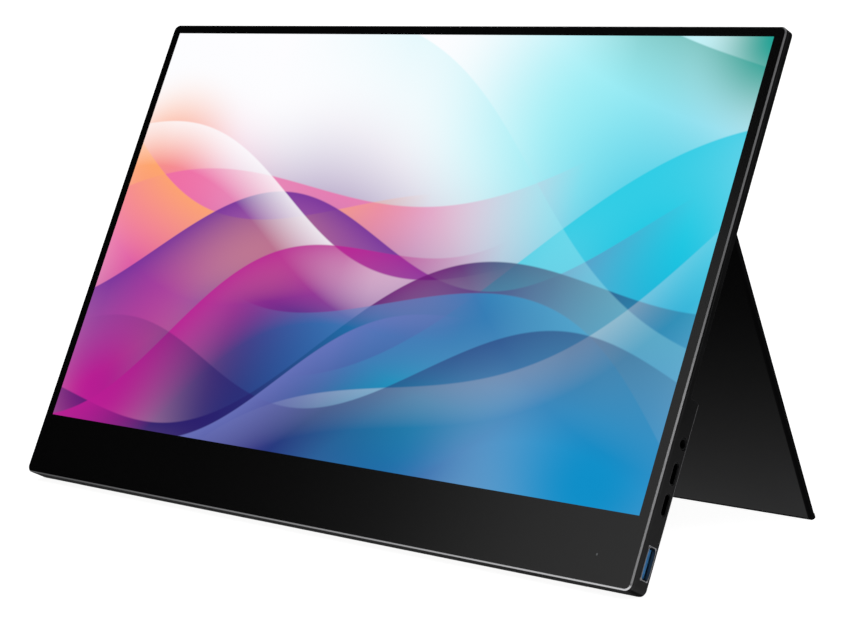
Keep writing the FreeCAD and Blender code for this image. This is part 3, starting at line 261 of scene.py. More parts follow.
class MonitorDetailSizes(bpy.types.PropertyGroup):
    """Sizes of the small pieces that the finish adds."""

    rim: length("Rim", "Half thickness of the large socket's rolled rim", 0.26 * MM)
    rim_corner: length("Rim corner", "Rounding of the rolled rim's corners", 1.0 * MM)
    rim_room: length("Rim room", "From the end of the large tongue to the rim", 0.9 * MM)
    contact: length("Contact", "Width of one contact in the large socket", 1.0 * MM)
    contact_pitch: length("Contact pitch", "Spacing of the contacts in the large socket", 2.5 * MM)
    pad: length("Pad", "Width of one contact pad in the small sockets", 0.28 * MM)
    pad_pitch: length("Pad pitch", "Spacing of the pads in the two like sockets on the right", 0.5 * MM)
    video_pitch: length("Video pitch", "Spacing of the pads in the video socket", 0.75 * MM)
    pad_rise: length("Pad rise", "How far a contact stands above its tongue", 0.05 * MM)
    sleeve: length("Sleeve", "Wall of the metal sleeve in the audio socket", 0.06 * MM)
    weave: length("Weave", "Pitch of the wire screens behind the speaker slots", 0.5 * MM)
    wire: length("Wire", "Thickness of the wire screens", 0.08 * MM)
    screen_length: length("Screen length", "Length of a wire screen", 30.0 * MM)
    screen_width: length("Screen width", "Width of a wire screen", 2.0 * MM)
    screen_drop: length("Screen drop", "From a speaker down to its wire screen", 1.2 * MM)
    mark_width: length("Mark width", "Width of a raised mark on a key", 0.5 * MM)
    mark_rise: length("Mark rise", "Height of a raised mark on a key", 0.12 * MM)


class MonitorStageLook(bpy.types.PropertyGroup):
    """Camera, lights and floor."""

    azimuth: angle("Azimuth", "Camera's turn to the right of straight ahead", 43.17)
    elevation: angle("Elevation", "Camera's height above the horizon", 9.28)
    roll: angle("Roll", "Camera's turn about its own axis", -2.3)
    distance: length("Distance", "From the camera to its target", 1.0136)
    target: point("Target", "Point that the camera looks at", (0.03191, -0.02, 0.08879))
    lens: number("Lens", "Focal length in millimetres", 103.34)
    sensor: number("Sensor", "Width of the camera's sensor in millimetres", 36.0)
    floor: colour("Floor", "Pale floor", (0.9, 0.9, 0.9))
    floor_reach: length("Floor reach", "Half the width of the floor", 30.0)
    floor_grain: length("Floor grain", "Grain of the floor", 2.0 * MM)
    floor_glow: number("Floor glow", "Even light that the floor gives by itself", 1.03)
    room: number("Room", "Brightness of the room around", 0.006)
    key: number("Key", "Strength of the even light from above", 0.8)
    key_spread: angle("Key spread", "How wide the light from above is", 80.0)
    right: number("Right", "Power of the light on the right in watts", 3.0)
    right_place: point("Right place", "Place of the light on the right", (1.7, -1.0, 1.3))
    right_aim: point("Right aim", "Point that the light on the right faces", (0.1, 0.0, 0.1))
    right_size: length("Right size", "Width of the light on the right", 1.1)
    front: number("Front", "Power of the soft light in front in watts", 2.2)
    front_place: point("Front place", "Place of the light in front", (-0.96, -1.7, 1.08))
    front_aim: point("Front aim", "Point that the light in front faces", (0.1, 0.0, 0.1))
    front_size: length("Front size", "Width of the light in front", 1.0)
    back: number("Back", "Power of the soft light behind in watts", 6.0)
    back_place: point("Back place", "Place of the light behind", (1.4, 1.6, 1.1))
    back_aim: point("Back aim", "Point that the light behind faces", (0.0, 0.0, 0.1))
    back_size: length("Back size", "Width of the light behind", 1.4)


# Node trees


def place(tree, kind, values=None, **settings):
    """New node of a kind. A value that is a socket is linked to its input, and any other is set on it."""
    node = tree.nodes.new(kind)
    for name, value in settings.items():
        setattr(node, name, value)
    for key, value in (values or {}).items():
        if isinstance(value, bpy.types.NodeSocket):
            tree.links.new(value, node.inputs[key])
        else:
            node.inputs[key].default_value = value
    return node


def math_node(tree, operation, first, second=0.0, clamp=False):
    """Output of one Math node."""
    node = place(tree, "ShaderNodeMath", {0: first, 1: second}, operation=operation, use_clamp=clamp)
    return node.outputs[0]


def mixed_value(tree, share, first, second):
    """Number mixed from two by a share."""
    node = place(tree, "ShaderNodeMix", {0: share, 2: first, 3: second}, data_type="FLOAT")
    return node.outputs[0]


def mixed(tree, share, first, second):
    """Colour mixed from two by a share."""
    node = place(tree, "ShaderNodeMix", {0: share, 6: first, 7: second}, data_type="RGBA")
    return node.outputs[2]


def ranged(tree, value, low, high, to_low=0.0, to_high=1.0):
    """Value carried from one range to another, and clamped at its ends."""
    keys = {"Value": value, "From Min": low, "From Max": high, "To Min": to_low, "To Max": to_high}
    return place(tree, "ShaderNodeMapRange", keys, clamp=True).outputs[0]


def passing(tree, value, start, run):
    """Mask that goes from 0 to 1 as a value passes a start, downwards where the run is negative."""
    return ranged(tree, value, start, start + run)


def opaque(rgb):
    """A colour property as the four numbers that a colour socket takes."""
    return (*rgb, 1.0)


def new_group(name, inputs, outputs):
    """Shader node group with named sockets, and the ends of its tree."""
    tree = bpy.data.node_groups.new(name, "ShaderNodeTree")
    for kind, socket in inputs:
        tree.interface.new_socket(socket, in_out="INPUT", socket_type=kind)
    for kind, socket in outputs:
        tree.interface.new_socket(socket, in_out="OUTPUT", socket_type=kind)
    return tree, tree.nodes.new("NodeGroupInput"), tree.nodes.new("NodeGroupOutput")


def use_group(tree, name, values=None):
    """One of the shared groups placed in a tree."""
    return place(tree, "ShaderNodeGroup", values, node_tree=bpy.data.node_groups[name])


FLOAT = "NodeSocketFloat"
RGBA = "NodeSocketColor"


def upright_group(name, turn, origin):
    """Group that gives places across, into and up a leaning piece, from Object coordinates turned upright."""
    tree, _, end = new_group(name, [], [(FLOAT, "Across"), (FLOAT, "Depth"), (FLOAT, "Height")])
    turned = Matrix.Rotation(turn, 3, "X") @ Vector(origin)
    source = place(tree, "ShaderNodeTexCoord").outputs["Object"]
    values = {"Vector": source, "Location": -turned, "Rotation": (turn, 0.0, 0.0)}
    upright = place(tree, "ShaderNodeMapping", values, vector_type="POINT")
    split = place(tree, "ShaderNodeSeparateXYZ", {0: upright.outputs[0]})
    for i in range(3):
        tree.links.new(split.outputs[i], end.inputs[i])


def grain_group():
    """Fine blasted grain: noise at two sizes gives a height for bump and a tone for colour and roughness."""
    tree, start, end = new_group("fine_grain", [(FLOAT, "Grain Size")], [(FLOAT, "Height"), (FLOAT, "Tone")])
    source = place(tree, "ShaderNodeTexCoord").outputs["Object"]
    scale = math_node(tree, "DIVIDE", 1.0, start.outputs[0])
    fine = place(tree, "ShaderNodeTexNoise", {"Vector": source, "Scale": scale, "Detail": 3.0})
    coarse_scale = math_node(tree, "MULTIPLY", scale, 0.012)
    coarse = place(tree, "ShaderNodeTexNoise", {"Vector": source, "Scale": coarse_scale, "Detail": 4.0})
    tree.links.new(fine.outputs[0], end.inputs[0])
    tree.links.new(ranged(tree, coarse.outputs[0], 0.3, 0.7), end.inputs[1])


def wear_group():
    """Mask of worn edges: how far a softly rounded normal leaves the true one, broken up by noise."""
    tree, start, end = new_group("edge_wear", [(FLOAT, "Radius"), (FLOAT, "Amount")], [(FLOAT, "Mask")])
    rounded = place(tree, "ShaderNodeBevel", {"Radius": start.outputs[0]}, samples=6)
    true = place(tree, "ShaderNodeNewGeometry").outputs["Normal"]
    along = place(tree, "ShaderNodeVectorMath", {0: rounded.outputs[0], 1: true}, operation="DOT_PRODUCT")
    off = math_node(tree, "SUBTRACT", 1.0, along.outputs["Value"])
    source = place(tree, "ShaderNodeTexCoord").outputs["Object"]
    patches = place(tree, "ShaderNodeTexNoise", {"Vector": source, "Scale": 90.0, "Detail": 5.0})
    broken = ranged(tree, patches.outputs[0], 0.35, 0.65, 0.35, 1.0)
    mask = math_node(tree, "MULTIPLY", ranged(tree, off, 0.02, 0.25), broken)
    tree.links.new(math_node(tree, "MULTIPLY", mask, start.outputs[1], clamp=True), end.inputs[0])


def brush_group():
    """Brushed lines along the X axis: noise stretched along the case."""
    tree, start, end = new_group("brushed_lines", [(FLOAT, "Line Size")], [(FLOAT, "Height")])
    source = place(tree, "ShaderNodeTexCoord").outputs["Object"]
    scale = place(tree, "ShaderNodeMapping", {"Vector": source, "Scale": (0.03, 1.0, 1.0)})
    size = math_node(tree, "DIVIDE", 1.0, start.outputs[0])
    lines = place(tree, "ShaderNodeTexNoise", {"Vector": scale.outputs[0], "Scale": size, "Detail": 2.0})
    tree.links.new(lines.outputs[0], end.inputs[0])


def pool_group():
    """Pool of colour in the picture: a disc that fades smoothly from its centre to its rim."""
    inputs = [(RGBA, "Under"), (FLOAT, "Across"), (FLOAT, "Height"), (RGBA, "Pool"), (FLOAT, "Centre Across")]
    inputs += [(FLOAT, "Centre Height"), (FLOAT, "Reach")]
    tree, start, end = new_group("colour_pool", inputs, [(RGBA, "Colour")])
    get = start.outputs
    side = math_node(tree, "SUBTRACT", get["Across"], get["Centre Across"])
    rise = math_node(tree, "SUBTRACT", get["Height"], get["Centre Height"])
    squares = [math_node(tree, "MULTIPLY", part, part) for part in (side, rise)]
    distance = math_node(tree, "SQRT", math_node(tree, "ADD", *squares))
    share = math_node(tree, "DIVIDE", distance, get["Reach"])
    keys = {"Value": share, "From Min": 1.0, "From Max": 0.0}
    mask = place(tree, "ShaderNodeMapRange", keys, interpolation_type="SMOOTHERSTEP").outputs[0]
    tree.links.new(mixed(tree, mask, get["Under"], get["Pool"]), end.inputs[0])


RIBBON_KEYS = ("Offset", "Swing", "Waves", "Phase", "Fade", "Strength", "Centre", "Reach")


def ribbon_group():
    """Ribbon of tinted light in the picture.

    Along a turned axis s the ribbon's crisp edge is the wave offset + swing * sin(2 pi (waves * s + phase)),
    and its tint fades away on one side of that edge and towards both ends of its reach about a centre.
    """
    inputs = [(RGBA, "Under"), (FLOAT, "Across"), (FLOAT, "Height"), (RGBA, "Tint"), (FLOAT, "Turn")]
    inputs += [(FLOAT, name) for name in RIBBON_KEYS]
    tree, start, end = new_group("light_ribbon", inputs, [(RGBA, "Colour")])
    get = start.outputs
    cosine = math_node(tree, "COSINE", get["Turn"])
    sine = math_node(tree, "SINE", get["Turn"])

    def combined(operation, first, second, by_first, by_second):
        """Sum or difference of two products."""
        product = math_node(tree, "MULTIPLY", first, by_first)
        return math_node(tree, operation, product, math_node(tree, "MULTIPLY", second, by_second))

    along = combined("ADD", get["Across"], get["Height"], cosine, sine)
    over = combined("SUBTRACT", get["Height"], get["Across"], cosine, sine)
    cycles = math_node(tree, "ADD", math_node(tree, "MULTIPLY", along, get["Waves"]), get["Phase"])
    wave = math_node(tree, "SINE", math_node(tree, "MULTIPLY", cycles, math.tau))
    edge = math_node(tree, "ADD", math_node(tree, "MULTIPLY", wave, get["Swing"]), get["Offset"])
    below = math_node(tree, "SUBTRACT", edge, over)
    fading = math_node(tree, "SUBTRACT", 1.0, math_node(tree, "DIVIDE", below, get["Fade"]), clamp=True)
    inside = ranged(tree, below, 0.0, 0.004)
    away = math_node(tree, "ABSOLUTE", math_node(tree, "SUBTRACT", get["Across"], get["Centre"]))
    near = ranged(tree, math_node(tree, "DIVIDE", away, get["Reach"]), 1.0, 0.5)
    mask = math_node(tree, "MULTIPLY", math_node(tree, "MULTIPLY", fading, inside), get["Strength"])
    mask = math_node(tree, "MULTIPLY", mask, near)
    tree.links.new(mixed(tree, mask, get["Under"], get["Tint"]), end.inputs[0])


def make_groups():
    """Build every shared node group once."""
    upright_group("case_place", LEAN, CASE_ORIGIN)
    upright_group("stand_place", -SPLAY, HINGE)
    grain_group()
    wear_group()
    brush_group()
    pool_group()
    ribbon_group()


def new_material(name):
    """Material with a Principled shader, and its tree."""
    material = bpy.data.materials.new(name)
    material.use_nodes = True
    tree = material.node_tree
    return material, tree, tree.nodes["Principled BSDF"]


def join(tree, shader, socket, output):
    """Link an output to one of the shader's sockets."""
    tree.links.new(output, shader.inputs[socket])


def bumped(tree, shader, height, strength, distance):
    """Bump from a height on the shader's normal."""
    keys = {"Height": height, "Strength": strength, "Distance": distance}
    join(tree, shader, "Normal", place(tree, "ShaderNodeBump", keys).outputs[0])


def dress(nodes, material):
    """Put a material on some CAD nodes."""
    for node in nodes:
        mesh = frame["nodes"][node].data
        mesh.materials.clear()
        mesh.materials.append(material)


def give(slot_name, material):
    """Put a material on every CAD node of one of the record's slots."""
    parts = frame["record"]["subparts"]
    dress([part["node"] for part in parts if part["material_slot"] == slot_name], material)


# Picture on the screen, in units of its height

# Pools: colour, centre across, centre height and reach
POOLS = (
    ("aqua", 1.4, 0.82, 0.6),
    ("peach", 0.1, 0.62, 0.32),
    ("pink", 0.2, 0.42, 0.5),
    ("violet", 0.66, 0.3, 0.64),
    ("magenta", 0.12, 0.08, 0.58),
    ("cyan", 1.66, 0.5, 0.62),
    ("indigo", 0.66, 0.0, 0.66),
    ("blue", 1.06, 0.06, 0.74),
    ("azure", 1.64, 0.04, 0.74),
    ("teal", 1.8, 1.0, 0.24),
)
# Ribbons: colour and turn in radians, then the values that RIBBON_KEYS names
RIBBONS = (
    ("pink", 0.18, 0.5, 0.1, 0.55, 0.1, 0.3, 0.8, 0.3, 1.1),
    ("peach", -0.2, 0.72, 0.12, 0.6, 0.62, 0.22, 0.85, 0.2, 0.8),
    ("cyan", 0.32, 0.06, 0.14, 0.5, 0.3, 0.34, 0.85, 1.6, 0.9),
    ("violet", 0.1, 0.42, 0.13, 0.7, 0.85, 0.26, 0.95, 0.6, 1.1),
    ("paper", -0.12, 0.66, 0.12, 0.62, 0.2, 0.12, 0.8, 0.5, 0.8),
    ("indigo", 0.26, 0.04, 0.12, 0.66, 0.45, 0.28, 0.95, 0.8, 1.2),
    ("azure", -0.28, 0.62, 0.15, 0.58, 0.52, 0.34, 0.7, 1.4, 0.9),
    ("magenta", 0.4, 0.1, 0.1, 0.8, 0.7, 0.2, 0.9, 0.35, 0.9),
    ("aqua", -0.4, 1.12, 0.12, 0.5, 0.05, 0.26, 0.3, 1.2, 0.8),
    ("paper", 0.5, -0.34, 0.1, 0.6, 0.9, 0.1, 0.22, 1.2, 0.7),
    ("teal", -0.55, 1.72, 0.08, 0.6, 0.4, 0.16, 0.6, 1.7, 0.5),
    ("indigo", 0.06, 0.16, 0.1, 0.75, 0.15, 0.24, 0.6, 1.0, 1.0),
    ("iris", 0.34, -0.08, 0.07, 0.9, 0.35, 0.16, 0.8, 0.5, 0.7),
)


def picture_colour(tree, look, across, height):
    """Colour of the generic picture: a pale ground, pools of colour, then ribbons of light over them."""
    result = opaque(look.paper)
    for name, centre, rise, reach in POOLS:
        values = {"Under": result, "Across": across, "Height": height, "Pool": opaque(getattr(look, name))}
        values.update({"Centre Across": centre, "Centre Height": rise, "Reach": reach})
        result = use_group(tree, "colour_pool", values).outputs[0]
    for name, turn, *numbers in RIBBONS:
        values = {"Under": result, "Across": across, "Height": height, "Tint": opaque(getattr(look, name))}
        values["Turn"] = turn
        values.update(zip(RIBBON_KEYS, numbers))
        result = use_group(tree, "light_ribbon", values).outputs[0]
    return result


def screen_material(look):
    """Bonded cover glass: a glossy black border, and the lit picture inside it with no gloss."""
    material, tree, shader = new_material("screen_glass")
    spot = use_group(tree, "case_place")
    left = math_node(tree, "ADD", spot.outputs["Across"], look.width / 2)
    rise = math_node(tree, "SUBTRACT", spot.outputs["Height"], look.chin)
    across = math_node(tree, "DIVIDE", left, look.height)
    height = math_node(tree, "DIVIDE", rise, look.height)

    def inside(value, reach):
        """Mask of the places from zero to a reach."""
        node = place(tree, "ShaderNodeMath", {0: value, 1: reach / 2, 2: reach / 2}, operation="COMPARE")
        return node.outputs[0]

    lit = math_node(tree, "MULTIPLY", inside(left, look.width), inside(rise, look.height))
    front = ranged(tree, spot.outputs["Depth"], 2 * look.face_depth, look.face_depth)
    lit = math_node(tree, "MULTIPLY", lit, front)
    picture = picture_colour(tree, look, across, height)
    join(tree, shader, "Emission Color", mixed(tree, lit, (0.0, 0.0, 0.0, 1.0), picture))
    shader.inputs["Emission Strength"].default_value = look.glow
    grain = use_group(tree, "fine_grain", {"Grain Size": look.grain})
    shader.inputs["Base Color"].default_value = opaque(look.border)
    border_rough = ranged(tree, grain.outputs["Tone"], 0.0, 1.0, 0.95 * look.gloss, 1.1 * look.gloss)
    join(tree, shader, "Roughness", border_rough)
    shader.inputs["Specular IOR Level"].default_value = 0.05
    join(tree, shader, "Coat Weight", ranged(tree, lit, 0.0, 1.0, 1.0, 0.0))
    shader.inputs["Coat Roughness"].default_value = look.gloss
    return material


def tinted(tree, tone, share, base, other):
    """Base colour moved a little towards another one by a tone."""
    return mixed(tree, math_node(tree, "MULTIPLY", tone, share), opaque(base), opaque(other))


def black_by_place(tree, look, sizes, spot, edge):
    """Black of the back, of the sides with painted light paler low down and painted shade darker high up, and
    of the bottom wall painted darker as shade.
    """
    # Painted light low on the sides and painted shade high up.
    above = passing(tree, spot.outputs["Height"], sizes.side_light_height, sizes.side_light_fade)
    sides = mixed(tree, above, opaque(look.side_light_foot), opaque(look.side_shade_top))
    side = math_node(tree, "ABSOLUTE", spot.outputs["Across"])
    on_side = passing(tree, side, edge - sizes.back_inset - sizes.fade, sizes.fade)
    # Painted shade on the bottom wall.
    on_bottom = passing(tree, spot.outputs["Height"], sizes.back_inset + sizes.fade, -sizes.fade)
    tone = mixed(tree, on_side, opaque(look.case), sides)
    return mixed(tree, on_bottom, tone, opaque(look.underside_shade))


def black_metal(name, look, sizes, node, grain_size):
    """Black anodised metal with a fine blasted grain and faintly worn, shinier edges."""
    material, tree, shader = new_material(name)
    spot = use_group(tree, "case_place")
    black = black_by_place(tree, look, sizes, spot, spans(node)[0][1])
    grain = use_group(tree, "fine_grain", {"Grain Size": grain_size})
    wear = use_group(tree, "edge_wear", {"Radius": sizes.case_wear, "Amount": 0.5}).outputs[0]
    speckle = math_node(tree, "MULTIPLY", grain.outputs["Tone"], 0.06)
    tone = mixed(tree, speckle, black, opaque(look.edge))
    roughness = ranged(tree, grain.outputs["Tone"], 0.0, 1.0, look.matt_rough, look.matt_rough + 0.08)
    join(tree, shader, "Base Color", mixed(tree, wear, tone, opaque(look.edge)))
    join(tree, shader, "Roughness", mixed_value(tree, wear, roughness, look.worn_rough))
    shader.inputs["Specular IOR Level"].default_value = look.sheen
    bumped(tree, shader, grain.outputs["Height"], 0.25, sizes.case_bump)
    return material, tree, shader, spot


def mask_over(tree, shader, mask, tint, rough):
    """Lay a colour and a roughness over those that the shader already has, where the mask is set."""
    under = shader.inputs["Base Color"].links[0].from_socket
    join(tree, shader, "Base Color", mixed(tree, mask, under, tint))
    under = shader.inputs["Roughness"].links[0].from_socket
    join(tree, shader, "Roughness", mixed_value(tree, mask, under, rough))


def satin_coat(tree, shader, look, sizes, mask):
    """Satin coat over the black where a mask is set, a little thinner in patches."""
    grain = use_group(tree, "fine_grain", {"Grain Size": sizes.satin_grain})
    even = ranged(tree, grain.outputs["Tone"], 0.0, 1.0, 0.95 * look.satin, look.satin)
    join(tree, shader, "Coat Weight", math_node(tree, "MULTIPLY", mask, even))
    shader.inputs["Coat Roughness"].default_value = look.satin_rough


def case_material(look, sizes):
    """Black case: a satin back, dull sides, and a painted highlight on their rounded rear corner."""
    material, tree, shader, spot = black_metal("case_metal", look, sizes, "rear_cover", sizes.case_grain)
    (_, edge), (_, back), _ = spans("rear_cover")
    side = math_node(tree, "ABSOLUTE", spot.outputs["Across"])
    # Painted highlight along the rounded rear corner of the sides.
    by_side = passing(tree, side, edge - sizes.ridge_highlight, sizes.ridge_highlight_fade)
    by_back = passing(tree, spot.outputs["Depth"], back - sizes.ridge_highlight, sizes.ridge_highlight_fade)
    ridge_highlight = math_node(tree, "MULTIPLY", by_side, by_back)
    mask_over(tree, shader, ridge_highlight, opaque(look.ridge_highlight), look.worn_rough)
    off_side = passing(tree, side, edge - sizes.back_inset, -sizes.fade)
    off_bottom = passing(tree, spot.outputs["Height"], sizes.back_inset, sizes.fade)
    on_back = math_node(tree, "MULTIPLY", off_side, off_bottom)
    satin_coat(tree, shader, look, sizes, on_back)
    return material


def frame_material(look, sizes):
    """Black front frame whose outer front corner is a finely brushed metal chamfer, with a painted highlight
    brightest at the lower right and painted shade towards the left and higher up.
    """
    material, tree, shader, spot = black_metal("frame_metal", look, sizes, "front_frame", sizes.frame_grain)
    cut = passing(tree, spot.outputs["Depth"], sizes.chamfer + sizes.hairline, -sizes.hairline)
    lines = use_group(tree, "brushed_lines", {"Line Size": sizes.chamfer_brush})
    bright_rough = ranged(tree, lines.outputs[0], 0.3, 0.7, 0.26, 0.36)
    # Painted highlight and shade on the cut edge: brightest at the lower right, darker to the left and higher
    # up.
    left, right = spans("front_frame")[0]
    rightward = ranged(tree, spot.outputs["Across"], left, right)
    above = passing(tree, spot.outputs["Height"], sizes.chamfer_highlight_height, sizes.chamfer_highlight_fade)
    painted_highlight = math_node(tree, "POWER", rightward, 1.6)
    painted_highlight = math_node(tree, "MULTIPLY", painted_highlight, ranged(tree, above, 0.0, 1.0, 1.0, look.chamfer_highlight_top))
    bright = mixed(tree, painted_highlight, opaque(look.chamfer_shade_left), opaque(look.chamfer))
    mask_over(tree, shader, cut, bright, bright_rough)
    join(tree, shader, "Metallic", cut)
    return material


def stand_material(look, sizes):
    """Stand: a soft inner face with painted shade darkening it towards the hinge, and black borders, edges,
    barrel and back.
    """
    material, tree, shader = new_material("stand_panel")
    spot = use_group(tree, "stand_place")
    half_width = spans("stand_plate")[0][1]
    sole = ((node_points("stand_foot") - HINGE) @ STAND_UP).min()
    inner = passing(tree, spot.outputs["Depth"], 2 * sizes.stand_skin, -sizes.stand_skin)
    under_barrel = passing(tree, spot.outputs["Height"], -sizes.barrel, -sizes.fade)
    over_foot = passing(tree, spot.outputs["Height"], sole + sizes.foot, sizes.fade)
    side = math_node(tree, "ABSOLUTE", spot.outputs["Across"])
    off_end = passing(tree, side, half_width - sizes.stand_border, -sizes.fade)
    face = math_node(tree, "MULTIPLY", math_node(tree, "MULTIPLY", inner, under_barrel), off_end)
    face = math_node(tree, "MULTIPLY", face, over_foot)
    grain = use_group(tree, "fine_grain", {"Grain Size": sizes.stand_grain})
    # Painted shade: the soft face is darkest by the hinge and lightens towards the foot.
    painted_shade_falloff = math_node(tree, "POWER", ranged(tree, spot.outputs["Height"], 0.0, sole), 2.3)
    soft = mixed(tree, painted_shade_falloff, opaque(look.stand_hinge_shade), opaque(look.stand))
    thick = ((node_points("stand_plate") - HINGE) @ STAND_OUT).max()
    outer = passing(tree, spot.outputs["Depth"], thick - sizes.stand_round, sizes.fade)
    back = mixed(tree, outer, opaque(look.stand_edge), opaque(look.case))
    join(tree, shader, "Base Color", mixed(tree, face, back, soft))
    join(tree, shader, "Roughness", ranged(tree, grain.outputs["Tone"], 0.0, 1.0, 0.62, 0.7))
    shader.inputs["Specular IOR Level"].default_value = look.sheen
    satin_coat(tree, shader, look, sizes, outer)
    bumped(tree, shader, grain.outputs["Height"], 0.35, sizes.stand_bump)
    return material


def rubber_material(look, sizes):
    """Matt rubber with a soft grain."""
    material, tree, shader = new_material("foot_rubber")
    grain = use_group(tree, "fine_grain", {"Grain Size": sizes.rubber_grain})
    join(tree, shader, "Base Color", tinted(tree, grain.outputs["Tone"], 0.3, look.rubber, look.edge))
    join(tree, shader, "Roughness", ranged(tree, grain.outputs["Tone"], 0.0, 1.0, 0.72, 0.85))
    bumped(tree, shader, grain.outputs["Height"], 0.6, sizes.rubber_bump)
    return material


def moulded_material(name, base, rough, grain_size, variation, sizes, sheen=0.5):
    """Moulded plastic with a fine grain and a slight change of tone."""
    material, tree, shader = new_material(name)
    grain = use_group(tree, "fine_grain", {"Grain Size": grain_size})
    lighter = tuple(min(1.0, c * (1.0 + variation)) for c in base)
    join(tree, shader, "Base Color", mixed(tree, grain.outputs["Tone"], opaque(base), opaque(lighter)))
    join(tree, shader, "Roughness", ranged(tree, grain.outputs["Tone"], 0.0, 1.0, rough, rough + 0.1))
    shader.inputs["Specular IOR Level"].default_value = sheen
    bumped(tree, shader, grain.outputs["Height"], 0.2, sizes.plastic_bump)
    return material


def metal_material(name, base, rough, sizes):
    """Plated or brushed metal with fine lines along the case."""
    material, tree, shader = new_material(name)
    lines = use_group(tree, "brushed_lines", {"Line Size": sizes.brush})
    wear = use_group(tree, "edge_wear", {"Radius": sizes.metal_wear, "Amount": 0.6})
    bright = tuple(min(1.0, c * 1.35) for c in base)
    join(tree, shader, "Base Color", mixed(tree, wear.outputs[0], opaque(base), opaque(bright)))
    shader.inputs["Metallic"].default_value = 1.0
    join(tree, shader, "Roughness", ranged(tree, lines.outputs[0], 0.3, 0.7, rough, rough + 0.14))
    bumped(tree, shader, lines.outputs[0], 0.15, sizes.metal_bump)
    return material


# Moulded finishes: slot, material, colour, roughness, grain in millimetres and change of tone
MOULDED = (
    ("keys", "key_plastic", "plastic", 0.4, 0.1, 0.4),
    ("light", "light_pipe", "lens", 0.2, 0.2, 0.1),
    ("flex", "flex_film", "film", 0.3, 0.5, 0.3),
    ("speaker", "speaker_plastic", "plastic", 0.5, 0.15, 0.3),
    ("tape", "border_tape", "rubber", 0.8, 0.3, 0.3),
    ("cell", "cell_film", "plastic", 0.2, 0.4, 0.3),
    ("film", "diffuser", "diffuser", 0.5, 0.3, 0.1),
    ("guide", "light_guide", "guide", 0.15, 0.6, 0.1),
    ("tongue_black", "tongue_black", "plastic", 0.4, 0.1, 0.3),
    ("tongue_blue", "tongue_blue", "tongue", 0.3, 0.1, 0.35),
)


def give_moulded(look, sizes, *slots):
    """Put the moulded finishes of some slots on their CAD nodes."""
    for slot, name, tint, rough, grain, variation in MOULDED:
        if slot in slots:
            base = getattr(look, tint)
            give(slot, moulded_material(name, base, rough, grain * MM, variation, sizes))


def board_material(look):
    """Circuit board: solder mask with copper tracks that show through it."""
    material, tree, shader = new_material("board_mask")
    source = place(tree, "ShaderNodeTexCoord").outputs["Object"]
    keys = {"Vector": source, "Scale": 420.0}
    cells = place(tree, "ShaderNodeTexVoronoi", keys, feature="DISTANCE_TO_EDGE", distance="MANHATTAN")
    tracks = ranged(tree, cells.outputs[0], 0.06, 0.1)
    lighter = tuple(c * 2.2 for c in look.board)
    join(tree, shader, "Base Color", mixed(tree, tracks, opaque(lighter), opaque(look.board)))
    join(tree, shader, "Roughness", ranged(tree, tracks, 0.0, 1.0, 0.3, 0.42))
    return material


# Surfaces


def grid_faces(count, rows, columns, wrap):
    """Corner numbers of the quads of some equal grids, the columns joined round where wrap is true."""
    row, column = np.meshgrid(np.arange(rows - 1), np.arange(columns if wrap else columns - 1), indexing="ij")
    after = (column + 1) % columns
    quad = np.stack([row * columns + column, row * columns + after, (row + 1) * columns + after,
                     (row + 1) * columns + column], axis=-1).reshape(1, -1, 4)
    return (quad + (np.arange(count) * rows * columns)[:, None, None]).reshape(-1, 4)


def surface_object(name, points, wrap, material):
    """Object from grids of points, shaped (grids, rows, columns, 3), with doubles merged."""
    count, rows, columns, _ = points.shape
    mesh = bpy.data.meshes.new(name)
    faces = grid_faces(count, rows, columns, wrap)
    mesh.from_pydata(points.reshape(-1, 3).tolist(), [], faces.tolist())
    work = bmesh.new()
    work.from_mesh(mesh)
    bmesh.ops.remove_doubles(work, verts=work.verts, dist=1e-7)
    bmesh.ops.recalc_face_normals(work, faces=work.faces)
    work.to_mesh(mesh)
    work.free()
    mesh.materials.append(material)
    mesh.shade_smooth()
    piece = bpy.data.objects.new(name, mesh)
    bpy.context.scene.collection.objects.link(piece)
    return piece


def pill_points(across, depth, height, half_across, half_depth, half_height, rows=9, columns=16, blunt=0.45):
    """Closed rounded bars, one for each given centre, on the case.

    Superellipsoid: with s(t) = sign(t) |t|^blunt, a point lies at half_across * s(sin a),
    half_depth * s(cos a) s(cos b), half_height * s(cos a) s(sin b) from its centre.
    """
    a = np.linspace(-math.pi / 2, math.pi / 2, rows)[:, None]
    b = np.linspace(0.0, math.tau, columns, endpoint=False)[None, :]

    def squared(value):
        """Signed power of a value."""
        value = np.where(np.abs(value) < 1e-9, 0.0, value)
        return np.sign(value) * np.abs(value) ** blunt

    across, depth, height = np.broadcast_arrays(across, depth, height)
    shape = (slice(None), None, None)
    x = across[shape] + half_across * squared(np.sin(a)) * np.ones_like(b)
    y = depth[shape] + half_depth * squared(np.cos(a)) * squared(np.cos(b))
    z = height[shape] + half_height * squared(np.cos(a)) * squared(np.sin(b))
    return on_case(x, y, z)


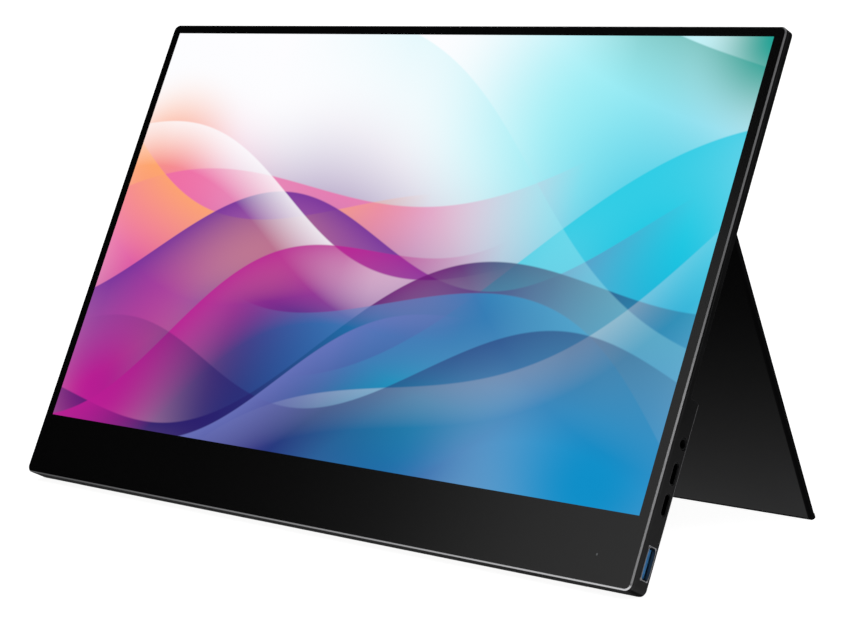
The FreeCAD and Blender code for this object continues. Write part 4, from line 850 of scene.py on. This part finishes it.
def rolled_rim_points(across, depth, height, half_depth, half_height, corner, radius, rows=64, columns=12):
    """Rim round a socket's mouth: a circle carried round a rounded rectangle.

    The path is a superellipse |depth / half_depth|^n + |height / half_height|^n = 1 with n set by the corner.
    """
    t = np.linspace(0.0, math.tau, rows)[:, None]
    c = np.linspace(0.0, math.tau, columns, endpoint=False)[None, :]
    sharp = 2.0 / (2.0 * half_depth / corner)
    path_depth = half_depth * np.sign(np.cos(t)) * np.abs(np.cos(t)) ** sharp
    path_height = half_height * np.sign(np.sin(t)) * np.abs(np.sin(t)) ** sharp
    outward = np.hypot(path_depth / half_depth ** 2, path_height / half_height ** 2)
    side = radius * np.cos(c)
    y = depth + path_depth + side * path_depth / half_depth ** 2 / outward
    z = height + path_height + side * path_height / half_height ** 2 / outward
    x = across + radius * np.sin(c) * np.ones_like(t)
    return on_case(x, y, z)[None]


def sleeve_points(mouth, back, depth, height, outer, wall, columns=40):
    """Thin tube: a profile that runs in along the wall and back, turned about the socket's axis."""
    round_mouth = wall / 2
    x = np.array([back, mouth - round_mouth, mouth, mouth - round_mouth, back, back])[:, None]
    r = np.array([outer, outer, outer - wall / 2, outer - wall, outer - wall, outer])[:, None]
    t = np.linspace(0.0, math.tau, columns, endpoint=False)[None, :]
    y = depth + r * np.cos(t)
    z = height + r * np.sin(t)
    return on_case(x * np.ones_like(t), y, z)[None]


def weave_points(across, depth, height, half_across, half_depth, pitch, samples=6):
    """Woven wire: a flat field raised by a quarter pitch times sin(2 pi x / pitch) sin(2 pi y / pitch)."""
    columns = int(round(2 * half_across / pitch)) * samples + 1
    rows = int(round(2 * half_depth / pitch)) * samples + 1
    x = np.linspace(-half_across, half_across, columns)[None, :]
    y = np.linspace(-half_depth, half_depth, rows)[:, None]
    rise = pitch / 4 * np.sin(math.tau * x / pitch) * np.sin(math.tau * y / pitch)
    return on_case(across + x + 0 * y, depth + y + 0 * x, height + rise)[None]


# Operators


class MONITOR_OT_screen(bpy.types.Operator):
    """Light the screen and blacken the border of its glass"""

    bl_idname = "monitor.screen"
    bl_label = "Screen"

    def execute(self, context):
        give("glass", screen_material(context.scene.monitor_screen))
        return {"FINISHED"}


class MONITOR_OT_case(bpy.types.Operator):
    """Finish the back, the front frame and the keys"""

    bl_idname = "monitor.case"
    bl_label = "Case"

    def execute(self, context):
        look = context.scene.monitor_finish
        sizes = context.scene.monitor_finish_sizes
        give("case", case_material(look, sizes))
        give("frame", frame_material(look, sizes))
        give_moulded(look, sizes, "keys", "light")
        give("screws", metal_material("screw_steel", look.dark_steel, 0.34, sizes))
        return {"FINISHED"}


class MONITOR_OT_stand(bpy.types.Operator):
    """Finish the stand, its hinges and the feet"""

    bl_idname = "monitor.stand"
    bl_label = "Stand"

    def execute(self, context):
        look = context.scene.monitor_finish
        sizes = context.scene.monitor_finish_sizes
        give("rubber", rubber_material(look, sizes))
        dress(["stand_plate", "stand_foot"], stand_material(look, sizes))
        give("hinge", metal_material("hinge_steel", look.dark_steel, 0.3, sizes))
        return {"FINISHED"}


class MONITOR_OT_inside(bpy.types.Operator):
    """Finish the pieces inside the case"""

    bl_idname = "monitor.inside"
    bl_label = "Inside"

    def execute(self, context):
        look = context.scene.monitor_finish
        sizes = context.scene.monitor_finish_sizes
        give("board", board_material(look))
        black = moulded_material("board_plastic", look.case, 0.6, sizes.plastic_grain, 0.3, sizes, look.sheen)
        give("board_plastic", black)
        give_moulded(look, sizes, "flex", "speaker", "tape", "cell", "film", "guide")
        give("tray", metal_material("tray_steel", look.steel, 0.35, sizes))
        give("shield", metal_material("shield_steel", look.steel, 0.3, sizes))
        return {"FINISHED"}


class MONITOR_OT_sockets(bpy.types.Operator):
    """Finish the sockets and add their rims, contacts and sleeve"""

    bl_idname = "monitor.sockets"
    bl_label = "Sockets"

    def execute(self, context):
        look = context.scene.monitor_finish
        sizes = context.scene.monitor_detail
        finish = context.scene.monitor_finish_sizes
        steel = metal_material("socket_steel", look.steel, 0.28, finish)
        gold = metal_material("contact_gold", look.gold, 0.25, finish)
        nickel = metal_material("black_nickel", look.black_nickel, 0.36, finish)
        give("socket_steel", nickel)
        dress(["usb_a_shell"], steel)
        give_moulded(look, finish, "tongue_black", "tongue_blue")
        pieces = [self.rim(steel, sizes), self.leaves(gold, sizes), self.sleeve(nickel, sizes)]
        for node, count, pitch in (
            ("usb_c_upper_tongue", 12, sizes.pad_pitch),
            ("usb_c_lower_tongue", 12, sizes.pad_pitch),
            ("mini_hdmi_tongue", 10, sizes.video_pitch),
        ):
            pieces.append(self.pads(node, count, pitch, gold, sizes))
        for piece in pieces:
            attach(piece, "monitor")
        return {"FINISHED"}

    def rim(self, steel, sizes):
        """Rolled rim of the large socket, on the end of its shell."""
        across, depth, height = spans("usb_a_shell")
        tongue_height = spans("usb_a_tongue")[2]
        half_height = half(tongue_height) + sizes.rim_room
        half_depth = half(depth) - sizes.rim
        points = rolled_rim_points(
            across[1], middle(depth), middle(height), half_depth, half_height, sizes.rim_corner, sizes.rim
        )
        return surface_object("usb_a_rim", points, True, steel)

    def leaves(self, gold, sizes):
        """Contact leaves along the open face of the large socket's tongue."""
        across, depth, height = spans("usb_a_tongue")
        places = middle(height) + spread(4, sizes.contact_pitch)
        points = pill_points(
            middle(across), depth[0], places, half(across) * 0.86, 2 * sizes.pad_rise, sizes.contact / 2
        )
        return surface_object("usb_a_contacts", points, True, gold)

    def sleeve(self, metal, sizes):
        """Metal sleeve in the audio socket."""
        mount = next(m for m in frame["record"]["mounts"] if m["name"] == "audio_socket")
        offset = np.array(mount["pos_m"]) - CASE_ORIGIN
        radius = mount["dims"]["r_mm"] * MM
        mouth = spans("audio_jack")[0][1]
        back = mouth - mount["dims"]["length_mm"] * MM
        points = sleeve_points(mouth, back, offset @ DEPTH_AXIS, offset @ UP_AXIS, radius, sizes.sleeve)
        return surface_object("audio_sleeve", points, True, metal)

    def pads(self, node, count, pitch, gold, sizes):
        """Contact pads on both faces of a small socket's tongue."""
        across, depth, height = spans(node)
        places = middle(height) + spread(count, pitch)
        both = np.concatenate([places, places])
        faces = np.repeat(np.array(depth), count)
        reach = half(across) * 0.75
        points = pill_points(
            middle(across), faces, both, reach, sizes.pad_rise, sizes.pad / 2, rows=7, columns=12
        )
        return surface_object(node.replace("tongue", "contacts"), points, True, gold)


class MONITOR_OT_speaker_screens(bpy.types.Operator):
    """Fix a woven wire dust screen behind each row of speaker slots"""

    bl_idname = "monitor.speaker_screens"
    bl_label = "Speaker screens"

    def execute(self, context):
        look = context.scene.monitor_finish
        sizes = context.scene.monitor_detail
        wire = metal_material("screen_wire", look.edge, 0.4, context.scene.monitor_finish_sizes)
        for side in ("left", "right"):
            across, depth, height = spans("speaker_" + side)
            points = weave_points(
                middle(across), middle(depth), height[0] - sizes.screen_drop, sizes.screen_length / 2,
                sizes.screen_width / 2, sizes.weave
            )
            piece = surface_object("speaker_screen_" + side, points, False, wire)
            solid = piece.modifiers.new("thickness", "SOLIDIFY")
            solid.thickness = sizes.wire
            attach(piece, "monitor")
        return {"FINISHED"}


class MONITOR_OT_key_marks(bpy.types.Operator):
    """Raise a dot on the power button and a bar at each end of the rocker"""

    bl_idname = "monitor.key_marks"
    bl_label = "Key marks"

    def execute(self, context):
        sizes = context.scene.monitor_detail
        look = context.scene.monitor_finish
        finish = context.scene.monitor_finish_sizes
        plastic = moulded_material("mark_plastic", look.edge, 0.45, finish.plastic_grain, 0.2, finish)
        across, depth, height = spans("power_button")
        dot = pill_points(
            np.array([across[0]]), middle(depth), middle(height), sizes.mark_rise, sizes.mark_width / 2,
            sizes.mark_width / 2, blunt=1.0
        )
        self.add("power_mark", dot, plastic, "power_key")
        across, depth, height = spans("menu_rocker")
        ends = middle(height) + np.array([-1.0, 1.0]) * half(height) * 0.7
        bars = pill_points(
            across[0], middle(depth), ends, sizes.mark_rise, sizes.mark_width / 2, 1.5 * sizes.mark_width
        )
        self.add("rocker_marks", bars, plastic, "rocker_key")
        return {"FINISHED"}

    def add(self, name, points, plastic, body):
        """One key's marks, riding on the key."""
        piece = surface_object(name, points, True, plastic)
        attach(piece, body)


class MONITOR_OT_stage(bpy.types.Operator):
    """Set the floor, the lights and the camera"""

    bl_idname = "monitor.stage"
    bl_label = "Stage"

    def execute(self, context):
        look = context.scene.monitor_stage
        self.floor(look)
        self.room(context.scene, look)
        self.overhead(look)
        self.card("right_card", look.right_place, look.right_aim, look.right_size, look.right)
        self.card("front_card", look.front_place, look.front_aim, look.front_size, look.front)
        self.card("back_card", look.back_place, look.back_aim, look.back_size, look.back)
        self.camera(context.scene, look)
        context.scene.view_settings.view_transform = "Standard"
        return {"FINISHED"}

    def floor(self, look):
        """Wide pale floor with a faint mottle, glowing a little so that shadows stay soft."""
        material, tree, shader = new_material("floor_paper")
        grain = use_group(tree, "fine_grain", {"Grain Size": look.floor_grain})
        pale = tuple(0.97 * c for c in look.floor)
        join(tree, shader, "Base Color", mixed(tree, grain.outputs["Tone"], opaque(pale), opaque(look.floor)))
        shader.inputs["Roughness"].default_value = 0.9
        shader.inputs["Specular IOR Level"].default_value = 0.1
        shader.inputs["Emission Color"].default_value = opaque(look.floor)
        shader.inputs["Emission Strength"].default_value = look.floor_glow
        reach = look.floor_reach
        mesh = bpy.data.meshes.new("floor")
        corners = [(-reach, -reach, 0.0), (reach, -reach, 0.0), (reach, reach, 0.0), (-reach, reach, 0.0)]
        mesh.from_pydata(corners, [], [(0, 1, 2, 3)])
        mesh.materials.append(material)
        piece = bpy.data.objects.new("floor", mesh)
        bpy.context.scene.collection.objects.link(piece)

    def room(self, scene, look):
        """Even, dim light from all around."""
        world = bpy.data.worlds.new("room")
        world.use_nodes = True
        background = world.node_tree.nodes["Background"]
        background.inputs["Color"].default_value = (1.0, 1.0, 1.0, 1.0)
        background.inputs["Strength"].default_value = look.room
        scene.world = world

    def overhead(self, look):
        """Even light from a wide patch of sky straight above."""
        data = bpy.data.lights.new("overhead", "SUN")
        data.energy = look.key
        data.angle = look.key_spread
        bpy.context.scene.collection.objects.link(bpy.data.objects.new("overhead", data))

    def card(self, name, place_at, aim, size, power):
        """Square soft light aimed at a point."""
        data = bpy.data.lights.new(name, "AREA")
        data.shape = "SQUARE"
        data.size = size
        data.energy = power
        lamp = bpy.data.objects.new(name, data)
        lamp.location = place_at
        lamp.rotation_euler = (Vector(aim) - Vector(place_at)).to_track_quat("-Z", "Y").to_euler()
        bpy.context.scene.collection.objects.link(lamp)

    def camera(self, scene, look):
        """Camera at the given azimuth, elevation and distance from its target, turned by its roll."""
        flat = math.cos(look.elevation)
        east = math.cos(look.azimuth)
        north = math.sin(look.azimuth)
        ahead = Vector((-north * flat, east * flat, -math.sin(look.elevation)))
        right = Vector((east, north, 0.0))
        up = right.cross(ahead)
        right, up = (
            right * math.cos(look.roll) + up * math.sin(look.roll),
            up * math.cos(look.roll) - right * math.sin(look.roll),
        )
        data = bpy.data.cameras.new("camera")
        data.sensor_width = look.sensor
        data.lens = look.lens
        data.clip_end = 200.0
        viewer = bpy.data.objects.new("camera", data)
        turn = Matrix((right, up, -ahead)).transposed().to_4x4()
        viewer.matrix_world = Matrix.Translation(Vector(look.target) - ahead * look.distance) @ turn
        scene.collection.objects.link(viewer)
        scene.camera = viewer


class MONITOR_PT_looks(bpy.types.Panel):
    """Sidebar panel with the looks of the monitor"""

    bl_idname = "MONITOR_PT_looks"
    bl_label = "Portable monitor"
    bl_space_type = "VIEW_3D"
    bl_region_type = "UI"
    bl_category = "Monitor"

    def draw(self, context):
        for group in GROUPS:
            box = self.layout.box()
            settings = getattr(context.scene, group)
            for name in settings.__annotations__:
                box.prop(settings, name)
        for operator in OPERATORS:
            self.layout.operator(operator.bl_idname)


GROUPS = {
    "monitor_screen": MonitorScreenLook,
    "monitor_finish": MonitorFinishLook,
    "monitor_finish_sizes": MonitorFinishSizes,
    "monitor_detail": MonitorDetailSizes,
    "monitor_stage": MonitorStageLook,
}
OPERATORS = (
    MONITOR_OT_screen,
    MONITOR_OT_case,
    MONITOR_OT_stand,
    MONITOR_OT_inside,
    MONITOR_OT_sockets,
    MONITOR_OT_speaker_screens,
    MONITOR_OT_key_marks,
    MONITOR_OT_stage,
)


def register():
    """Register the settings, the operators and the panel."""
    for name, group in GROUPS.items():
        bpy.utils.register_class(group)
        setattr(bpy.types.Scene, name, bpy.props.PointerProperty(type=group))
    for operator in OPERATORS:
        bpy.utils.register_class(operator)
    bpy.utils.register_class(MONITOR_PT_looks)


def unregister():
    """Undo register."""
    bpy.utils.unregister_class(MONITOR_PT_looks)
    for operator in reversed(OPERATORS):
        bpy.utils.unregister_class(operator)
    for name, group in GROUPS.items():
        delattr(bpy.types.Scene, name)
        bpy.utils.unregister_class(group)


def main():
    """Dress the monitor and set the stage."""
    register()
    make_groups()
    bpy.ops.monitor.screen()
    bpy.ops.monitor.case()
    bpy.ops.monitor.stand()
    bpy.ops.monitor.inside()
    bpy.ops.monitor.sockets()
    bpy.ops.monitor.speaker_screens()
    bpy.ops.monitor.key_marks()
    bpy.ops.monitor.stage()


if __name__ == "__main__":
    main()
